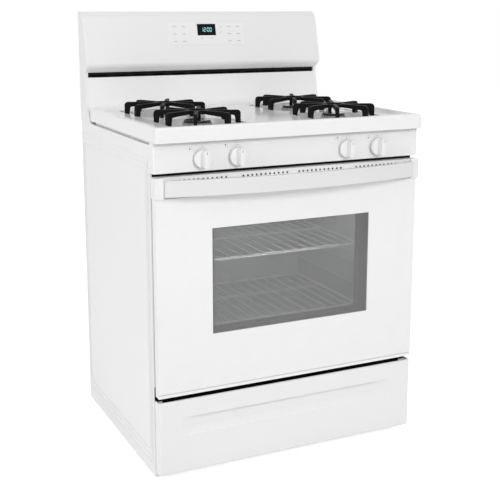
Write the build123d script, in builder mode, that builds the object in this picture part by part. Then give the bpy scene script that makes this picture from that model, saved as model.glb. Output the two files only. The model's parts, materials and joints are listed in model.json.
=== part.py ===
"""Freestanding gas range, thirty-inch class, with an oven, a drawer and a sloped backguard.

Millimetres. +Z is up, the range faces -Y, +X is to the right as seen from the front.
The origin is on the floor, under the middle of the whole range.
"""
import os
from math import atan2, cos, degrees, hypot, radians, sin

from build123d import *

os.makedirs("parts", exist_ok=True)

# Envelope
width = 759.0
overall_depth = 685.0
backguard_top = 1191.0
handle_reach = 85.0  # handle front to the front edge of the side panels
foot_clear = 14.0  # underside of the body above the floor
panel_height = 862.0
sheet = 1.2  # formed steel
contact_gap = 0.3  # between pieces that move past each other
running_gap = 0.05  # radial, shaft in hole

# Side panels
panel_return = 22.0
panel_corner_r = 5.0
bead_width = 4.0
bead_depth = 0.8
bead_corner_r = 14.0
bead_insets = ((10.0, 31.0), (19.0, 45.0), (28.0, 60.0))  # from the upright edges, from the level edges

# Rear panel, screws and cord entry
rear_panel_base = 230.0
rear_panel_inset = 4.0
screw_head_h = 2.0
screw_head_r = 4.5
screw_shank_r = 2.0
screw_shank_length = 8.0
screw_hole_clearance = 0.2
screws_per_side = 5
screw_end_inset = 30.0
louvre_drop = 120.0  # middle of the louvres below the side panels' top
louvre_pitch = 24.0
louvre_slot_h = 7.0
grommet_x = -180.0
grommet_z = 300.0
grommet_bore_r = 5.0
grommet_wall = 5.0
grommet_lip = 3.0

# Base frame and levelling legs
base_plate = 1.5
base_ring = 76.0
leg_inset_x = 45.0
leg_inset_front = 45.0
leg_inset_rear = 55.0
leg_screw_r = 5.0
leg_foot_r = 18.0
leg_foot_h = 9.0
leg_length = 48.0
leg_boss_r = 13.0
leg_boss_h = 20.0
leg_chamfer = 1.5
front_rail_h = 20.0

# Oven
cavity_side = 87.5  # oven wall to the range's side
rear_space = 111.8  # behind the oven, for the flue and pipes
cavity_top = 725.0
sill_top = 290.0  # lower edge of the oven mouth
liner_floor = 262.0
flange_inset = 5.5
flange_base = 257.0
apron_base = 200.0
apron_set_back = 10.0
insulation_thick = 28.0
insulation_floor = 22.0
insulation_set_back = 14.0
guide_depth = 8.0
guide_thick = 5.0
guide_base = 357.5
guide_pitch = 60.3
guide_count = 6
floor_ledge = 10.0
floor_gap = 1.0
floor_slot_inset = 45.0
floor_slot_w = 12.0
gasket_width = 12.0
gasket_thick = 2.7
gasket_margin = 9.0

# Oven burner and flue
oven_burner_r = 12.0
oven_burner_z = 276.0
oven_burner_front = 80.0
oven_burner_tail = 50.0  # burner tube behind the oven's back wall
igniter_length = 60.0
igniter_width = 10.0
igniter_height = 14.0
valve_block = (50.0, 36.0, 44.0)
valve_edge_r = 4.0
flue_half_width = 60.0
flue_height = 37.0
flue_depth = 33.0
flue_base = 685.0
flue_rear_gap = 12.0

# Lamp and temperature probe on the oven's back wall
lamp_x = 200.0
lamp_z = 675.0
lamp_bulb_r = 20.0
lamp_neck_r = 14.0
lamp_flange_r = 24.0
probe_x = -200.0
probe_z = 690.0
probe_r = 3.0
probe_length = 120.0

# Racks
rack_wire_r = 3.2
rack_thin_wire_r = 2.0
rack_side_gap = 6.0
rack_front = 100.0
rack_rear_gap = 13.0
rack_wire_count = 16
rack_wire_sink = 0.5
rack_corner_r = 14.0
rack_bar_r = 2.6
rack_bar_shares = (0.04, 0.61)
rack_on_guide = ("lower", "", "", "upper", "", "")  # the rack that each guide carries, from below

# Oven door
door_face = 29.3  # door front ahead of the side panels' front edge
door_back = 4.2
door_bottom = 236.0
door_top = 799.0
door_side_gap = 2.5
door_glass_thick = 4.0
door_lip_h = 10.0
door_seam = 2.0  # open joint between the lip and the glass
door_glass_corner_r = 2.0
trim_h = 52.0
trim_face = 26.0
trim_cap_face = 35.0
trim_wall = 2.5
trim_slot = 5.0
trim_slot_pitch = 12.4
trim_slots_per_group = 11
trim_slot_z = 789.0
trim_slot_groups = (-250.0, -79.0, 79.0, 250.0)
frame_opening_margin = 77.0
plug_gap = 6.0
plug_depth = 12.2
window_half_width = 228.0
window_base = 388.0
window_top = 663.0
inner_window_inset_x = 20.0
inner_window_inset_z = 9.0
inner_glass_thick = 4.0
inner_glass_lap = 10.0

# Door hinges
hinge_side = 49.5  # hinge to the range's side
pivot_ahead = 8.0  # pivot ahead of the side panels' front edge
pivot_rise = 15.0  # pivot above the door's bottom edge
hinge_pin_r = 3.0
hinge_lug_thick = 6.0
hinge_lug_r = 6.5
hinge_side_gap = 0.6
hinge_cheek = 2.5
hinge_channel_top = 380.0
hinge_slot_margin = 3.0
receiver_plate = 2.0
receiver_half_width = 14.0
notch_margin = 5.0  # side panel notch below the drawer's top edge

# Door handle
handle_end_inset = 24.5  # handle end to the range's side
handle_base = 754.0
handle_h = 40.0
handle_end_reach = 50.0
handle_band = 11.0
handle_post = 14.0
handle_edge_r = 3.0

# Drawer
drawer_side_gap = 2.5
drawer_base = 26.0
drawer_top = 223.0
drawer_sheet = 1.5
drawer_edge_r = 6.0
drawer_top_return = 7.0
scoop_end_margin = 61.0
scoop_end_run = 66.0  # length over which the scoop fades out at each end
scoop_top = 176.0
scoop_bottom = 127.0
scoop_depth = 19.0
scoop_wall = 2.0
bracket_x = 220.0
bracket_w = 30.0
bracket_base = 60.0
bracket_h = 45.0
box_side = 89.5  # drawer box to the range's side
box_base = 50.0
box_top = 180.0
box_depth = 476.0
runner_width = 26.0
runner_h = 8.0
runner_z = 80.3
rail_sheet = 2.0
rail_lip = 16.0
rail_front = 15.0
rail_length = 490.0

# Control panel, valves and knobs
control_face = 25.0
control_base = 808.5
control_top = 883.5
knob_pair_side = 175.0  # middle of a pair of knobs to the range's side
knob_pitch = 95.0
knob_names = ("front_left", "rear_left", "rear_right", "front_right")
knob_z = 840.0
knob_stand_off = 4.0
knob_r = 23.5
knob_skirt_h = 9.0
knob_grip_w = 10.0
knob_grip_h = 20.0
knob_edge_r = 1.5
stem_r = 4.0
stem_hole_r = 6.0
stem_back = 25.0  # stem behind the panel's face
stem_front = 19.5
valve_nose_r = 8.0
valve_nose_front = 5.0
valve_bore_depth = 24.0
valve_body = (26.0, 26.0, 28.0)

# Gas pipes
manifold_r = 8.0
manifold_wall = 2.0
manifold_set_back = 30.0
manifold_end = 79.5  # manifold's closed end to the range's side
riser_side = 44.5
riser_ahead = 36.8  # riser ahead of the body's rear edge
pipe_bend_r = 25.0
manifold_bracket_side = 84.5
manifold_bracket_w = 20.0
manifold_bracket_t = 6.0
tube_r = 4.5
tube_bend_r = 12.0
tube_z = 798.0
regulator_r = 26.0
regulator_z = 110.0
regulator_h = 40.0
inlet_boss_r = 14.0
inlet_bore_r = 9.2
inlet_depth = 20.0
inlet_behind = 0.2  # inlet face behind the body's rear edge
regulator_edge_r = 4.0

# Cooktop
cooktop_face = 45.6
cooktop_base = 884.0
cooktop_z = 913.0
rim_top = 922.0
rim_width = 16.0
rim_edge_r = 7.0
cooktop_sheet = 2.0
cooktop_rail_inset = 12.0
splash_foot_ahead = 70.8  # these are ahead of the body's rear edge
splash_foot_r = 25.0
splash_top = 1004.0
splash_top_ahead = 50.8
burner_side = 176.5
burner_front = 124.0  # front row behind the side panels' front edge
burner_rear_ahead = 233.8  # rear row ahead of the body's rear edge
well_gap = 27.0  # from one burner's well to the next, had each its own
well_corner_r = 30.0
ledge_drop = 3.0
bowl_gap = 67.0  # between the bowls of one well
bowl_corner_r = 26.0
bowl_drop = 20.0

# Surface burners
head_r = {"front_left": 38.0, "rear_left": 34.0, "rear_right": 34.0, "front_right": 34.0}
cap_margin = 3.0
head_flange_h = 5.0
head_top = 18.0  # above the bowl floor
cap_h = 6.5
burner_cap_edge_r = 3.0
head_stem_r = 16.0
head_hole_clearance = 1.0
flame_ports = 24
flame_port_w = 3.0
flame_port_depth = 5.0
electrode_r = 3.0
electrode_collar_r = 5.0
electrode_collar_h = 3.0
electrode_gap = 8.0
electrode_below = 20.0
electrode_above = 16.0

# Grates
grate_top = 943.0
grate_leg_gap = 49.0  # between the legs of the front and the rear grate
grate_leg_y = 43.6
grate_bar = 9.5
grate_arm_h = 9.0
grate_root_h = 13.0
grate_leg_depth = 16.0
grate_foot_depth = 13.0
grate_bend_r = 9.0
grate_crook_r = 6.0
grate_ring_r = 28.0
grate_ring_width = 9.0

# Backguard
cap_thick = 10.0
console_sheet = 1.5
console_base = 1018.0
console_lip_z = 1037.0
console_lip_ahead = 79.8  # these are ahead of the body's rear edge
console_base_ahead = 52.8
console_brow_z = 1176.0
console_brow_ahead = 45.8
console_crown_ahead = 27.8
console_round_r = 12.0
cap_foot_ahead = 98.8
cap_waist_ahead = 66.8
cap_waist_z = 931.0
cap_sweep = 20.0  # how far the end cap's foot curve runs back at half its height
cap_sweep_rise = 4.0
cap_edge_r = 2.5
vent_end_gap = 4.5
vent_ahead = 51.8
vent_depth = 15.0
vent_slots = 12
vent_slot_length = 46.0
vent_slot_h = 4.0
vent_slot_slope = 20.0  # degrees, rising to the rear
overlay_width = 246.0
overlay_h = 65.0
overlay_rise = 19.6  # above the middle of the sloped face
overlay_thick = 0.8
display_width = 59.0
display_h = 34.0
display_rise = 31.9
display_thick = 0.6
display_clearance = 1.0
board_width = 240.0
board_h = 55.0
board_thick = 1.6
board_gap = 12.0
board_post_r = 3.0
board_post_inset = 10.0

# Worked out from the sizes above
half_w = width / 2
rear_y = overall_depth / 2
front_y = handle_reach - rear_y
rear_skin = rear_y - screw_head_h
body_rear = rear_skin - sheet
panel_base = foot_clear
panel_top = foot_clear + panel_height
cavity_half = half_w - cavity_side
cavity_width = 2 * cavity_half
cavity_depth = body_rear - front_y - rear_space
base_top = panel_base + sheet + base_plate
bowl_z = cooktop_z - bowl_drop
ledge_z = cooktop_z - ledge_drop
pivot_z = door_bottom + pivot_rise
notch_base = drawer_top - notch_margin
screw_hole_r = screw_shank_r + screw_hole_clearance
grommet_r = grommet_bore_r + grommet_wall
trim_base = door_top - trim_h
door_half_width = half_w - door_side_gap
drawer_half_width = half_w - drawer_side_gap
box_half_width = half_w - box_side
handle_half_length = half_w - handle_end_inset
trim_cap_width = handle_end_inset - contact_gap
scoop_half_width = drawer_half_width - scoop_end_margin
hinge_x = half_w - hinge_side
knob_pair_x = half_w - knob_pair_side
knob_outer = knob_pair_x + knob_pitch / 2
knob_inner = knob_pair_x - knob_pitch / 2
knob_xs = (-knob_outer, -knob_inner, knob_inner, knob_outer)
manifold_left = half_w - manifold_end
manifold_bracket_x = half_w - manifold_bracket_side
riser_x = half_w - riser_side
burner_x = half_w - burner_side
burner_rows = {"front": front_y + burner_front, "rear": body_rear - burner_rear_ahead}
row_pitch = burner_rows["rear"] - burner_rows["front"]
well_half = (row_pitch - well_gap) / 2
bowl_half = (row_pitch - bowl_gap) / 2
grate_leg_x = (row_pitch - grate_leg_gap) / 2
inner_half = half_w - cap_thick
vent_half_width = inner_half - vent_end_gap
cooktop_side_rear = body_rear - cap_foot_ahead


def y_at(set_back):
    """y of a plane this far behind the side panels' front edge; negative is ahead of it."""
    return front_y + set_back


def y_ahead(distance):
    """y of a plane this far ahead of the body's rear edge."""
    return body_rear - distance


def block(corner_a, corner_b, mode=Mode.ADD):
    """Box between two opposite corners."""
    size = [abs(b - a) for a, b in zip(corner_a, corner_b)]
    middle = tuple((a + b) / 2 for a, b in zip(corner_a, corner_b))
    with Locations(middle):
        Box(*size, mode=mode)


def rod(start, end, radius, mode=Mode.ADD):
    """Round bar between two points."""
    run = Vector(*end) - Vector(*start)
    with Locations(Plane(origin=start, z_dir=run)):
        Cylinder(radius, run.length, align=(Align.CENTER, Align.CENTER, Align.MIN), mode=mode)


def pipe(points, bend_r, radius, bore_r=0.0):
    """Bent pipe along a run of points."""
    start = Vector(*points[0])
    first_run = Vector(*points[1]) - start
    with BuildLine() as route:
        FilletPolyline(*points, radius=bend_r)
    with BuildSketch(Plane(origin=start, z_dir=first_run)) as section:
        Circle(radius)
        if bore_r > 0:
            Circle(bore_r, mode=Mode.SUBTRACT)
    sweep(sections=section.sketch, path=route.wires()[0])


def save(builder, name):
    """Label a finished sub-part and write its file."""
    builder.part.label = name
    export_step(builder.part, f"parts/{name}.step")


screw_run = panel_top - rear_panel_base - 2 * screw_end_inset
screw_zs = [
    rear_panel_base + screw_end_inset + i * screw_run / (screws_per_side - 1) for i in range(screws_per_side)
]
screw_places = [(side * (half_w - panel_return / 2), z) for side in (-1, 1) for z in screw_zs]
leg_places = {
    "front_left": (leg_inset_x - half_w, y_at(leg_inset_front)),
    "front_right": (half_w - leg_inset_x, y_at(leg_inset_front)),
    "rear_left": (leg_inset_x - half_w, body_rear - leg_inset_rear),
    "rear_right": (half_w - leg_inset_x, body_rear - leg_inset_rear),
}
burner_places = {
    f"{row}_{hand}": (side * burner_x, y)
    for hand, side in (("left", -1), ("right", 1))
    for row, y in burner_rows.items()
}

# Side panels: pans with folded edges all round and two embossed frames.
# The front fold is notched where the door's lower edge swings in.
for side, name in ((-1, "left_side_panel"), (1, "right_side_panel")):
    outer_face = Plane(
        origin=(side * half_w, (front_y + body_rear) / 2, (panel_base + panel_top) / 2),
        x_dir=(0, 1, 0),
        z_dir=(side, 0, 0),
    )
    with BuildPart() as side_panel:
        block(
            (side * half_w, front_y, panel_base),
            (side * (half_w - panel_return), body_rear, panel_top),
        )
        uprights = side_panel.edges().filter_by(Axis.Z).group_by(Axis.X)
        fillet(uprights[0 if side < 0 else -1], radius=panel_corner_r)
        inner_face = side_panel.faces().sort_by(Axis.X)[-1 if side < 0 else 0]
        offset(amount=-sheet, openings=inner_face)
        with BuildSketch(outer_face):
            for upright_inset, level_inset in bead_insets:
                run = body_rear - front_y - 2 * upright_inset
                rise = panel_height - 2 * level_inset
                RectangleRounded(run, rise, bead_corner_r)
                RectangleRounded(
                    run - 2 * bead_width,
                    rise - 2 * bead_width,
                    bead_corner_r - bead_width,
                    mode=Mode.SUBTRACT,
                )
        extrude(amount=-bead_depth, mode=Mode.SUBTRACT)
        block(
            (side * (half_w - panel_return), front_y, notch_base),
            (side * (door_half_width + 2 * contact_gap), y_at(apron_set_back), flange_base + sheet),
            Mode.SUBTRACT,
        )
        for x, z in screw_places:
            rod((x, body_rear - 2 * sheet, z), (x, rear_y, z), screw_hole_r, Mode.SUBTRACT)
    save(side_panel, name)

# Rear panel: closes the back from above the gas inlet to the top of the backguard
with BuildPart() as rear_panel:
    block(
        (rear_panel_inset - half_w, body_rear, rear_panel_base),
        (half_w - rear_panel_inset, rear_skin, backguard_top - rear_panel_inset),
    )
    for x, z in screw_places:
        rod((x, body_rear, z), (x, rear_skin, z), screw_hole_r, Mode.SUBTRACT)
    rod(
        (grommet_x, body_rear, grommet_z),
        (grommet_x, rear_skin, grommet_z),
        grommet_r,
        Mode.SUBTRACT,
    )
    with BuildSketch(Plane(origin=(0, rear_skin, panel_top - louvre_drop), x_dir=(1, 0, 0), z_dir=(0, 1, 0))):
        with GridLocations(width / 8, louvre_pitch, 4, 5):
            SlotOverall(width / 12, louvre_slot_h)
    extrude(amount=-2 * sheet, mode=Mode.SUBTRACT)
save(rear_panel, "rear_panel")

with BuildPart() as cord_grommet:
    rod((grommet_x, body_rear, grommet_z), (grommet_x, rear_skin, grommet_z), grommet_r)
    for near, far in ((body_rear - screw_head_h, body_rear), (rear_skin, rear_y)):
        rod((grommet_x, near, grommet_z), (grommet_x, far, grommet_z), grommet_r + grommet_lip)
    rod(
        (grommet_x, body_rear - screw_head_h, grommet_z),
        (grommet_x, rear_y, grommet_z),
        grommet_bore_r,
        Mode.SUBTRACT,
    )
save(cord_grommet, "cord_grommet")

with BuildPart() as body_screws:
    for x, z in screw_places:
        rod((x, rear_skin, z), (x, rear_y, z), screw_head_r)
        rod((x, rear_skin - screw_shank_length, z), (x, rear_skin, z), screw_shank_r)
save(body_screws, "body_screws")

# Base frame: a ring of plate on the side panels' lower folds, with a boss for each leg
with BuildPart() as base_frame:
    block(
        (sheet - half_w, y_at(sheet), panel_base + sheet),
        (half_w - sheet, body_rear - sheet, base_top),
    )
    fillet(base_frame.edges().filter_by(Axis.Z), radius=panel_corner_r)
    block(
        (sheet - half_w + base_ring, y_at(sheet) + base_ring, panel_base + sheet),
        (half_w - sheet - base_ring, body_rear - sheet - base_ring, base_top),
        Mode.SUBTRACT,
    )
    block(
        (base_ring - half_w, y_at(sheet), base_top),
        (half_w - base_ring, y_at(sheet) + rail_sheet, base_top + front_rail_h),
    )
    for x, y in leg_places.values():
        rod((x, y, base_top), (x, y, base_top + leg_boss_h), leg_boss_r)
        rod((x, y, panel_base), (x, y, base_top + leg_boss_h), leg_screw_r + running_gap, Mode.SUBTRACT)
save(base_frame, "base_frame")

# Levelling legs: a hexagonal foot on a screw
for name, (x, y) in leg_places.items():
    with BuildPart() as leg:
        with BuildSketch(Plane(origin=(x, y, 0))):
            RegularPolygon(leg_foot_r, 6)
        extrude(amount=leg_foot_h)
        chamfer(leg.edges().group_by(Axis.Z)[0], length=leg_chamfer)
        rod((x, y, leg_foot_h), (x, y, leg_length), leg_screw_r)
    save(leg, f"levelling_leg_{name}")

# Oven liner with its front flange, apron, rack guides and floor ledges
liner_rear = y_at(cavity_depth)
apron_half = half_w - sheet - contact_gap
guide_zs = [guide_base + i * guide_pitch for i in range(guide_count)]
with BuildPart() as oven_liner:
    block(
        (-cavity_half - sheet, front_y, liner_floor - sheet),
        (cavity_half + sheet, liner_rear + sheet, cavity_top + sheet),
    )
    block((-cavity_half, front_y, liner_floor), (cavity_half, liner_rear, cavity_top), Mode.SUBTRACT)
    block(
        (flange_inset - half_w, y_at(-sheet), flange_base),
        (half_w - flange_inset, front_y, control_base),
    )
    block((-cavity_half, y_at(-sheet), sill_top), (cavity_half, front_y, cavity_top), Mode.SUBTRACT)
    block(
        (flange_inset - half_w, y_at(-sheet), flange_base),
        (half_w - flange_inset, y_at(apron_set_back + sheet), flange_base + sheet),
    )
    block(
        (-apron_half, y_at(apron_set_back), apron_base),
        (apron_half, y_at(apron_set_back + sheet), flange_base + sheet),
    )
    for side in (-1, 1):
        for z in guide_zs:
            block(
                (side * cavity_half, y_at(2 * rack_side_gap), z - guide_thick),
                (side * (cavity_half - guide_depth), liner_rear, z),
            )
        block(
            (side * cavity_half, front_y, sill_top - sheet),
            (side * (cavity_half - floor_ledge), liner_rear, sill_top),
        )
        block(
            (side * hinge_x - hinge_lug_thick / 2, y_at(apron_set_back), pivot_z - hinge_lug_r),
            (side * hinge_x + hinge_lug_thick / 2, y_at(apron_set_back + sheet), flange_base),
            Mode.SUBTRACT,
        )
    for x, z, radius in (
        (0, oven_burner_z, oven_burner_r),
        (lamp_x, lamp_z, lamp_neck_r),
        (probe_x, probe_z, probe_r),
    ):
        rod((x, liner_rear, z), (x, liner_rear + sheet, z), radius, Mode.SUBTRACT)
    block(
        (sheet - flue_half_width, liner_rear, flue_base + sheet),
        (flue_half_width - sheet, liner_rear + sheet, flue_base + flue_height - sheet),
        Mode.SUBTRACT,
    )
save(oven_liner, "oven_liner")

# Insulation blanket round the liner
blanket_half = cavity_half + sheet + insulation_thick
blanket_rear = liner_rear + sheet + insulation_thick
with BuildPart() as oven_insulation:
    block(
        (-blanket_half, y_at(insulation_set_back), liner_floor - sheet - insulation_floor),
        (blanket_half, blanket_rear, cavity_top + sheet + insulation_thick),
    )
    block(
        (-cavity_half - sheet, y_at(insulation_set_back), liner_floor - sheet),
        (cavity_half + sheet, liner_rear + sheet, cavity_top + sheet),
        Mode.SUBTRACT,
    )
    for x, z, radius in (
        (0, oven_burner_z, oven_burner_r),
        (lamp_x, lamp_z, lamp_neck_r),
        (probe_x, probe_z, probe_r),
    ):
        rod((x, liner_rear + sheet, z), (x, blanket_rear, z), radius, Mode.SUBTRACT)
    block(
        (-flue_half_width, liner_rear + sheet, flue_base),
        (flue_half_width, blanket_rear, flue_base + flue_height),
        Mode.SUBTRACT,
    )
save(oven_insulation, "oven_insulation")

# Removable oven floor with heat slots along its sides
with BuildPart() as oven_floor_panel:
    block(
        (floor_gap - cavity_half, y_at(sheet), sill_top),
        (cavity_half - floor_gap, liner_rear - floor_gap, sill_top + sheet),
    )
    with BuildSketch(Plane.XY.offset(sill_top)):
        with Locations((0, (front_y + liner_rear) / 2)):
            with GridLocations(cavity_width - 2 * floor_slot_inset, cavity_depth / 7, 2, 6):
                SlotOverall(cavity_depth / 10, floor_slot_w, rotation=90)
    extrude(amount=sheet, mode=Mode.SUBTRACT)
save(oven_floor_panel, "oven_floor_panel")

# Oven burner tube on a front bracket, its glow igniter and its safety valve
valve_front = liner_rear + oven_burner_tail
with BuildPart() as oven_burner:
    rod(
        (0, y_at(oven_burner_front), oven_burner_z),
        (0, valve_front, oven_burner_z),
        oven_burner_r,
    )
    rod(
        (0, y_at(oven_burner_front) + 2 * sheet, oven_burner_z),
        (0, valve_front, oven_burner_z),
        oven_burner_r - sheet,
        Mode.SUBTRACT,
    )
    block(
        (-oven_burner_r, y_at(oven_burner_front), liner_floor),
        (oven_burner_r, y_at(oven_burner_front) + sheet, oven_burner_z),
    )
save(oven_burner, "oven_burner")

igniter_rear = y_at(oven_burner_front) + 3 * igniter_length
with BuildPart() as oven_igniter:
    block(
        (oven_burner_r, igniter_rear - igniter_length, oven_burner_z - igniter_height / 2),
        (oven_burner_r + igniter_width, igniter_rear, oven_burner_z + igniter_height / 2),
    )
    block(
        (oven_burner_r + igniter_width - sheet, igniter_rear - igniter_length, liner_floor),
        (oven_burner_r + igniter_width, igniter_rear, oven_burner_z - igniter_height / 2),
    )
save(oven_igniter, "oven_igniter")

with BuildPart() as oven_gas_valve:
    block(
        (-valve_block[0] / 2, valve_front, oven_burner_z - valve_block[2] / 2),
        (valve_block[0] / 2, valve_front + valve_block[1], oven_burner_z + valve_block[2] / 2),
    )
    fillet(oven_gas_valve.edges().filter_by(Axis.Y), radius=valve_edge_r)
    rod((0, valve_front + valve_block[1], oven_burner_z), (0, body_rear, oven_burner_z), oven_burner_r)
save(oven_gas_valve, "oven_gas_valve")

# Flue: leaves the oven's back wall and rises behind the splash to the vent
flue_rear = body_rear - flue_rear_gap
with BuildPart() as oven_flue:
    block(
        (-flue_half_width, liner_rear + sheet, flue_base),
        (flue_half_width, flue_rear, flue_base + flue_height),
    )
    block((-flue_half_width, flue_rear - flue_depth, flue_base), (flue_half_width, flue_rear, splash_top))
    block(
        (sheet - flue_half_width, liner_rear + sheet, flue_base + sheet),
        (flue_half_width - sheet, flue_rear - sheet, flue_base + flue_height - sheet),
        Mode.SUBTRACT,
    )
    block(
        (sheet - flue_half_width, flue_rear - flue_depth + sheet, flue_base + sheet),
        (flue_half_width - sheet, flue_rear - sheet, splash_top),
        Mode.SUBTRACT,
    )
save(oven_flue, "oven_flue")

# Oven lamp and temperature probe, both flanged to the back wall
with BuildPart() as oven_lamp:
    rod((lamp_x, liner_rear - 2 * sheet, lamp_z), (lamp_x, liner_rear, lamp_z), lamp_flange_r)
    rod((lamp_x, liner_rear, lamp_z), (lamp_x, blanket_rear, lamp_z), lamp_neck_r)
    with Locations((lamp_x, liner_rear - 2 * sheet - lamp_bulb_r * 0.8, lamp_z)):
        Sphere(lamp_bulb_r)
save(oven_lamp, "oven_lamp")

with BuildPart() as temperature_sensor:
    rod((probe_x, liner_rear - probe_length, probe_z), (probe_x, blanket_rear, probe_z), probe_r)
    block(
        (probe_x - 4 * probe_r, liner_rear - sheet, probe_z - 2 * probe_r),
        (probe_x + 4 * probe_r, liner_rear, probe_z + 2 * probe_r),
    )
save(temperature_sensor, "temperature_sensor")

# Door gasket round the oven mouth
with BuildPart() as oven_gasket:
    mouth = Plane(
        origin=(0, y_at(-sheet), (sill_top + cavity_top) / 2),
        x_dir=(1, 0, 0),
        z_dir=(0, -1, 0),
    )
    with BuildSketch(mouth):
        inner_w = cavity_width + 2 * gasket_margin
        inner_h = cavity_top - sill_top + 2 * gasket_margin
        outer_w = inner_w + 2 * gasket_width
        outer_h = inner_h + 2 * gasket_width
        RectangleRounded(outer_w, outer_h, gasket_margin + gasket_width)
        RectangleRounded(inner_w, inner_h, gasket_margin, mode=Mode.SUBTRACT)
    extrude(amount=gasket_thick)
save(oven_gasket, "oven_gasket")

# Racks: a closed frame of thick wire, cross bars, and thin wires front to back
rack_half = cavity_half - rack_side_gap
rack_rear = cavity_depth - rack_rear_gap
rack_depth = rack_rear - rack_front
rack_places = [(name, z) for name, z in zip(rack_on_guide, guide_zs) if name]
for name, guide_z in rack_places:
    z = guide_z + contact_gap + rack_wire_r
    wire_z = z + rack_wire_r - rack_wire_sink
    with BuildPart() as rack:
        with BuildLine() as frame_line:
            FilletPolyline(
                (rack_half, y_at(rack_front), z),
                (rack_half, y_at(rack_rear), z),
                (-rack_half, y_at(rack_rear), z),
                (-rack_half, y_at(rack_front), z),
                radius=rack_corner_r,
                close=True,
            )
        frame_wire = frame_line.wires()[0]
        with BuildSketch(Plane(origin=frame_wire @ 0, z_dir=frame_wire % 0)):
            Circle(rack_wire_r)
        sweep(path=frame_wire)
        for share in rack_bar_shares:
            y = y_at(rack_front + share * rack_depth)
            rod((-rack_half, y, z), (rack_half, y, z), rack_bar_r)
        for i in range(rack_wire_count):
            x = -rack_half + (i + 1) * 2 * rack_half / (rack_wire_count + 1)
            rod((x, y_at(rack_front), wire_z), (x, y_at(rack_rear), wire_z), rack_thin_wire_r)
    save(rack, f"oven_rack_{name}")

# Oven door frame: a tub behind the glass, with a lip under the glass and slots for the hinge lugs
glass_back = -door_face + door_glass_thick
frame_back = -door_back - sheet
hinge_slot_half = hinge_lug_thick / 2 + hinge_side_gap + hinge_cheek + hinge_slot_margin
with BuildPart() as door_frame:
    block(
        (-door_half_width, y_at(glass_back), door_bottom),
        (door_half_width, y_at(frame_back), trim_base),
    )
    block(
        (sheet - door_half_width, y_at(glass_back + sheet), door_bottom + sheet),
        (door_half_width - sheet, y_at(frame_back), trim_base - sheet),
        Mode.SUBTRACT,
    )
    block(
        (frame_opening_margin - door_half_width, y_at(glass_back), door_bottom + frame_opening_margin),
        (door_half_width - frame_opening_margin, y_at(glass_back + sheet), trim_base - frame_opening_margin),
        Mode.SUBTRACT,
    )
    block(
        (-door_half_width, y_at(-door_face), door_bottom),
        (door_half_width, y_at(glass_back), door_bottom + door_lip_h - door_seam),
    )
    for side in (-1, 1):
        block(
            (side * hinge_x - hinge_slot_half, y_at(-2 * pivot_ahead), door_bottom),
            (side * hinge_x + hinge_slot_half, y_at(frame_back), door_bottom + sheet),
            Mode.SUBTRACT,
        )
save(door_frame, "door_frame")

with BuildPart() as door_glass:
    block(
        (contact_gap - door_half_width, y_at(-door_face), door_bottom + door_lip_h),
        (door_half_width - contact_gap, y_at(glass_back), trim_base - contact_gap),
    )
    fillet(door_glass.edges().filter_by(Axis.Y), radius=door_glass_corner_r)
save(door_glass, "door_glass")

# Inner door panel: its raised plug enters the oven mouth and holds the inner pane
plug_back = plug_depth - door_back
inner_window_half = window_half_width - inner_window_inset_x
inner_window_base = window_base + inner_window_inset_z
inner_window_top = window_top - inner_window_inset_z
with BuildPart() as door_liner:
    block(
        (contact_gap - door_half_width, y_at(frame_back), door_bottom + sheet),
        (door_half_width - contact_gap, y_at(-door_back), door_top - trim_wall),
    )
    block(
        (plug_gap - cavity_half, y_at(-door_back), sill_top + plug_gap),
        (cavity_half - plug_gap, y_at(plug_back), cavity_top - plug_gap),
    )
    block(
        (plug_gap + sheet - cavity_half, y_at(frame_back), sill_top + plug_gap + sheet),
        (cavity_half - plug_gap - sheet, y_at(plug_back - sheet), cavity_top - plug_gap - sheet),
        Mode.SUBTRACT,
    )
    block(
        (-inner_window_half, y_at(plug_back - sheet), inner_window_base),
        (inner_window_half, y_at(plug_back), inner_window_top),
        Mode.SUBTRACT,
    )
    for side in (-1, 1):
        block(
            (side * hinge_x - hinge_slot_half, y_at(frame_back), door_bottom),
            (side * hinge_x + hinge_slot_half, y_at(-door_back), pivot_z + 2 * hinge_lug_r),
            Mode.SUBTRACT,
        )
save(door_liner, "door_liner")

pane_back = plug_back - sheet
with BuildPart() as door_inner_glass:
    block(
        (
            -inner_window_half - inner_glass_lap,
            y_at(pane_back - inner_glass_thick),
            inner_window_base - inner_glass_lap,
        ),
        (inner_window_half + inner_glass_lap, y_at(pane_back), inner_window_top + inner_glass_lap),
    )
save(door_inner_glass, "door_inner_glass")

# Door top trim: a cap with vent slots behind the handle and a solid end at each side
with BuildPart() as door_top_trim:
    block((-half_w, y_at(-trim_cap_face), trim_base), (half_w, y_at(frame_back), door_top))
    block(
        (trim_cap_width - half_w, y_at(-trim_cap_face), trim_base),
        (half_w - trim_cap_width, y_at(-trim_face), door_top),
        Mode.SUBTRACT,
    )
    block(
        (trim_wall - half_w, y_at(-trim_face + trim_wall), trim_base),
        (half_w - trim_wall, y_at(frame_back), door_top - trim_wall),
        Mode.SUBTRACT,
    )
    slot_plane = Plane(origin=(0, y_at(-trim_face), trim_slot_z), x_dir=(1, 0, 0), z_dir=(0, -1, 0))
    with BuildSketch(slot_plane):
        for group_x in trim_slot_groups:
            with Locations((group_x, 0)):
                with GridLocations(trim_slot_pitch, 1, trim_slots_per_group, 1):
                    Rectangle(trim_slot, trim_slot)
    extrude(amount=-trim_wall, mode=Mode.SUBTRACT)
save(door_top_trim, "door_top_trim")

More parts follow.
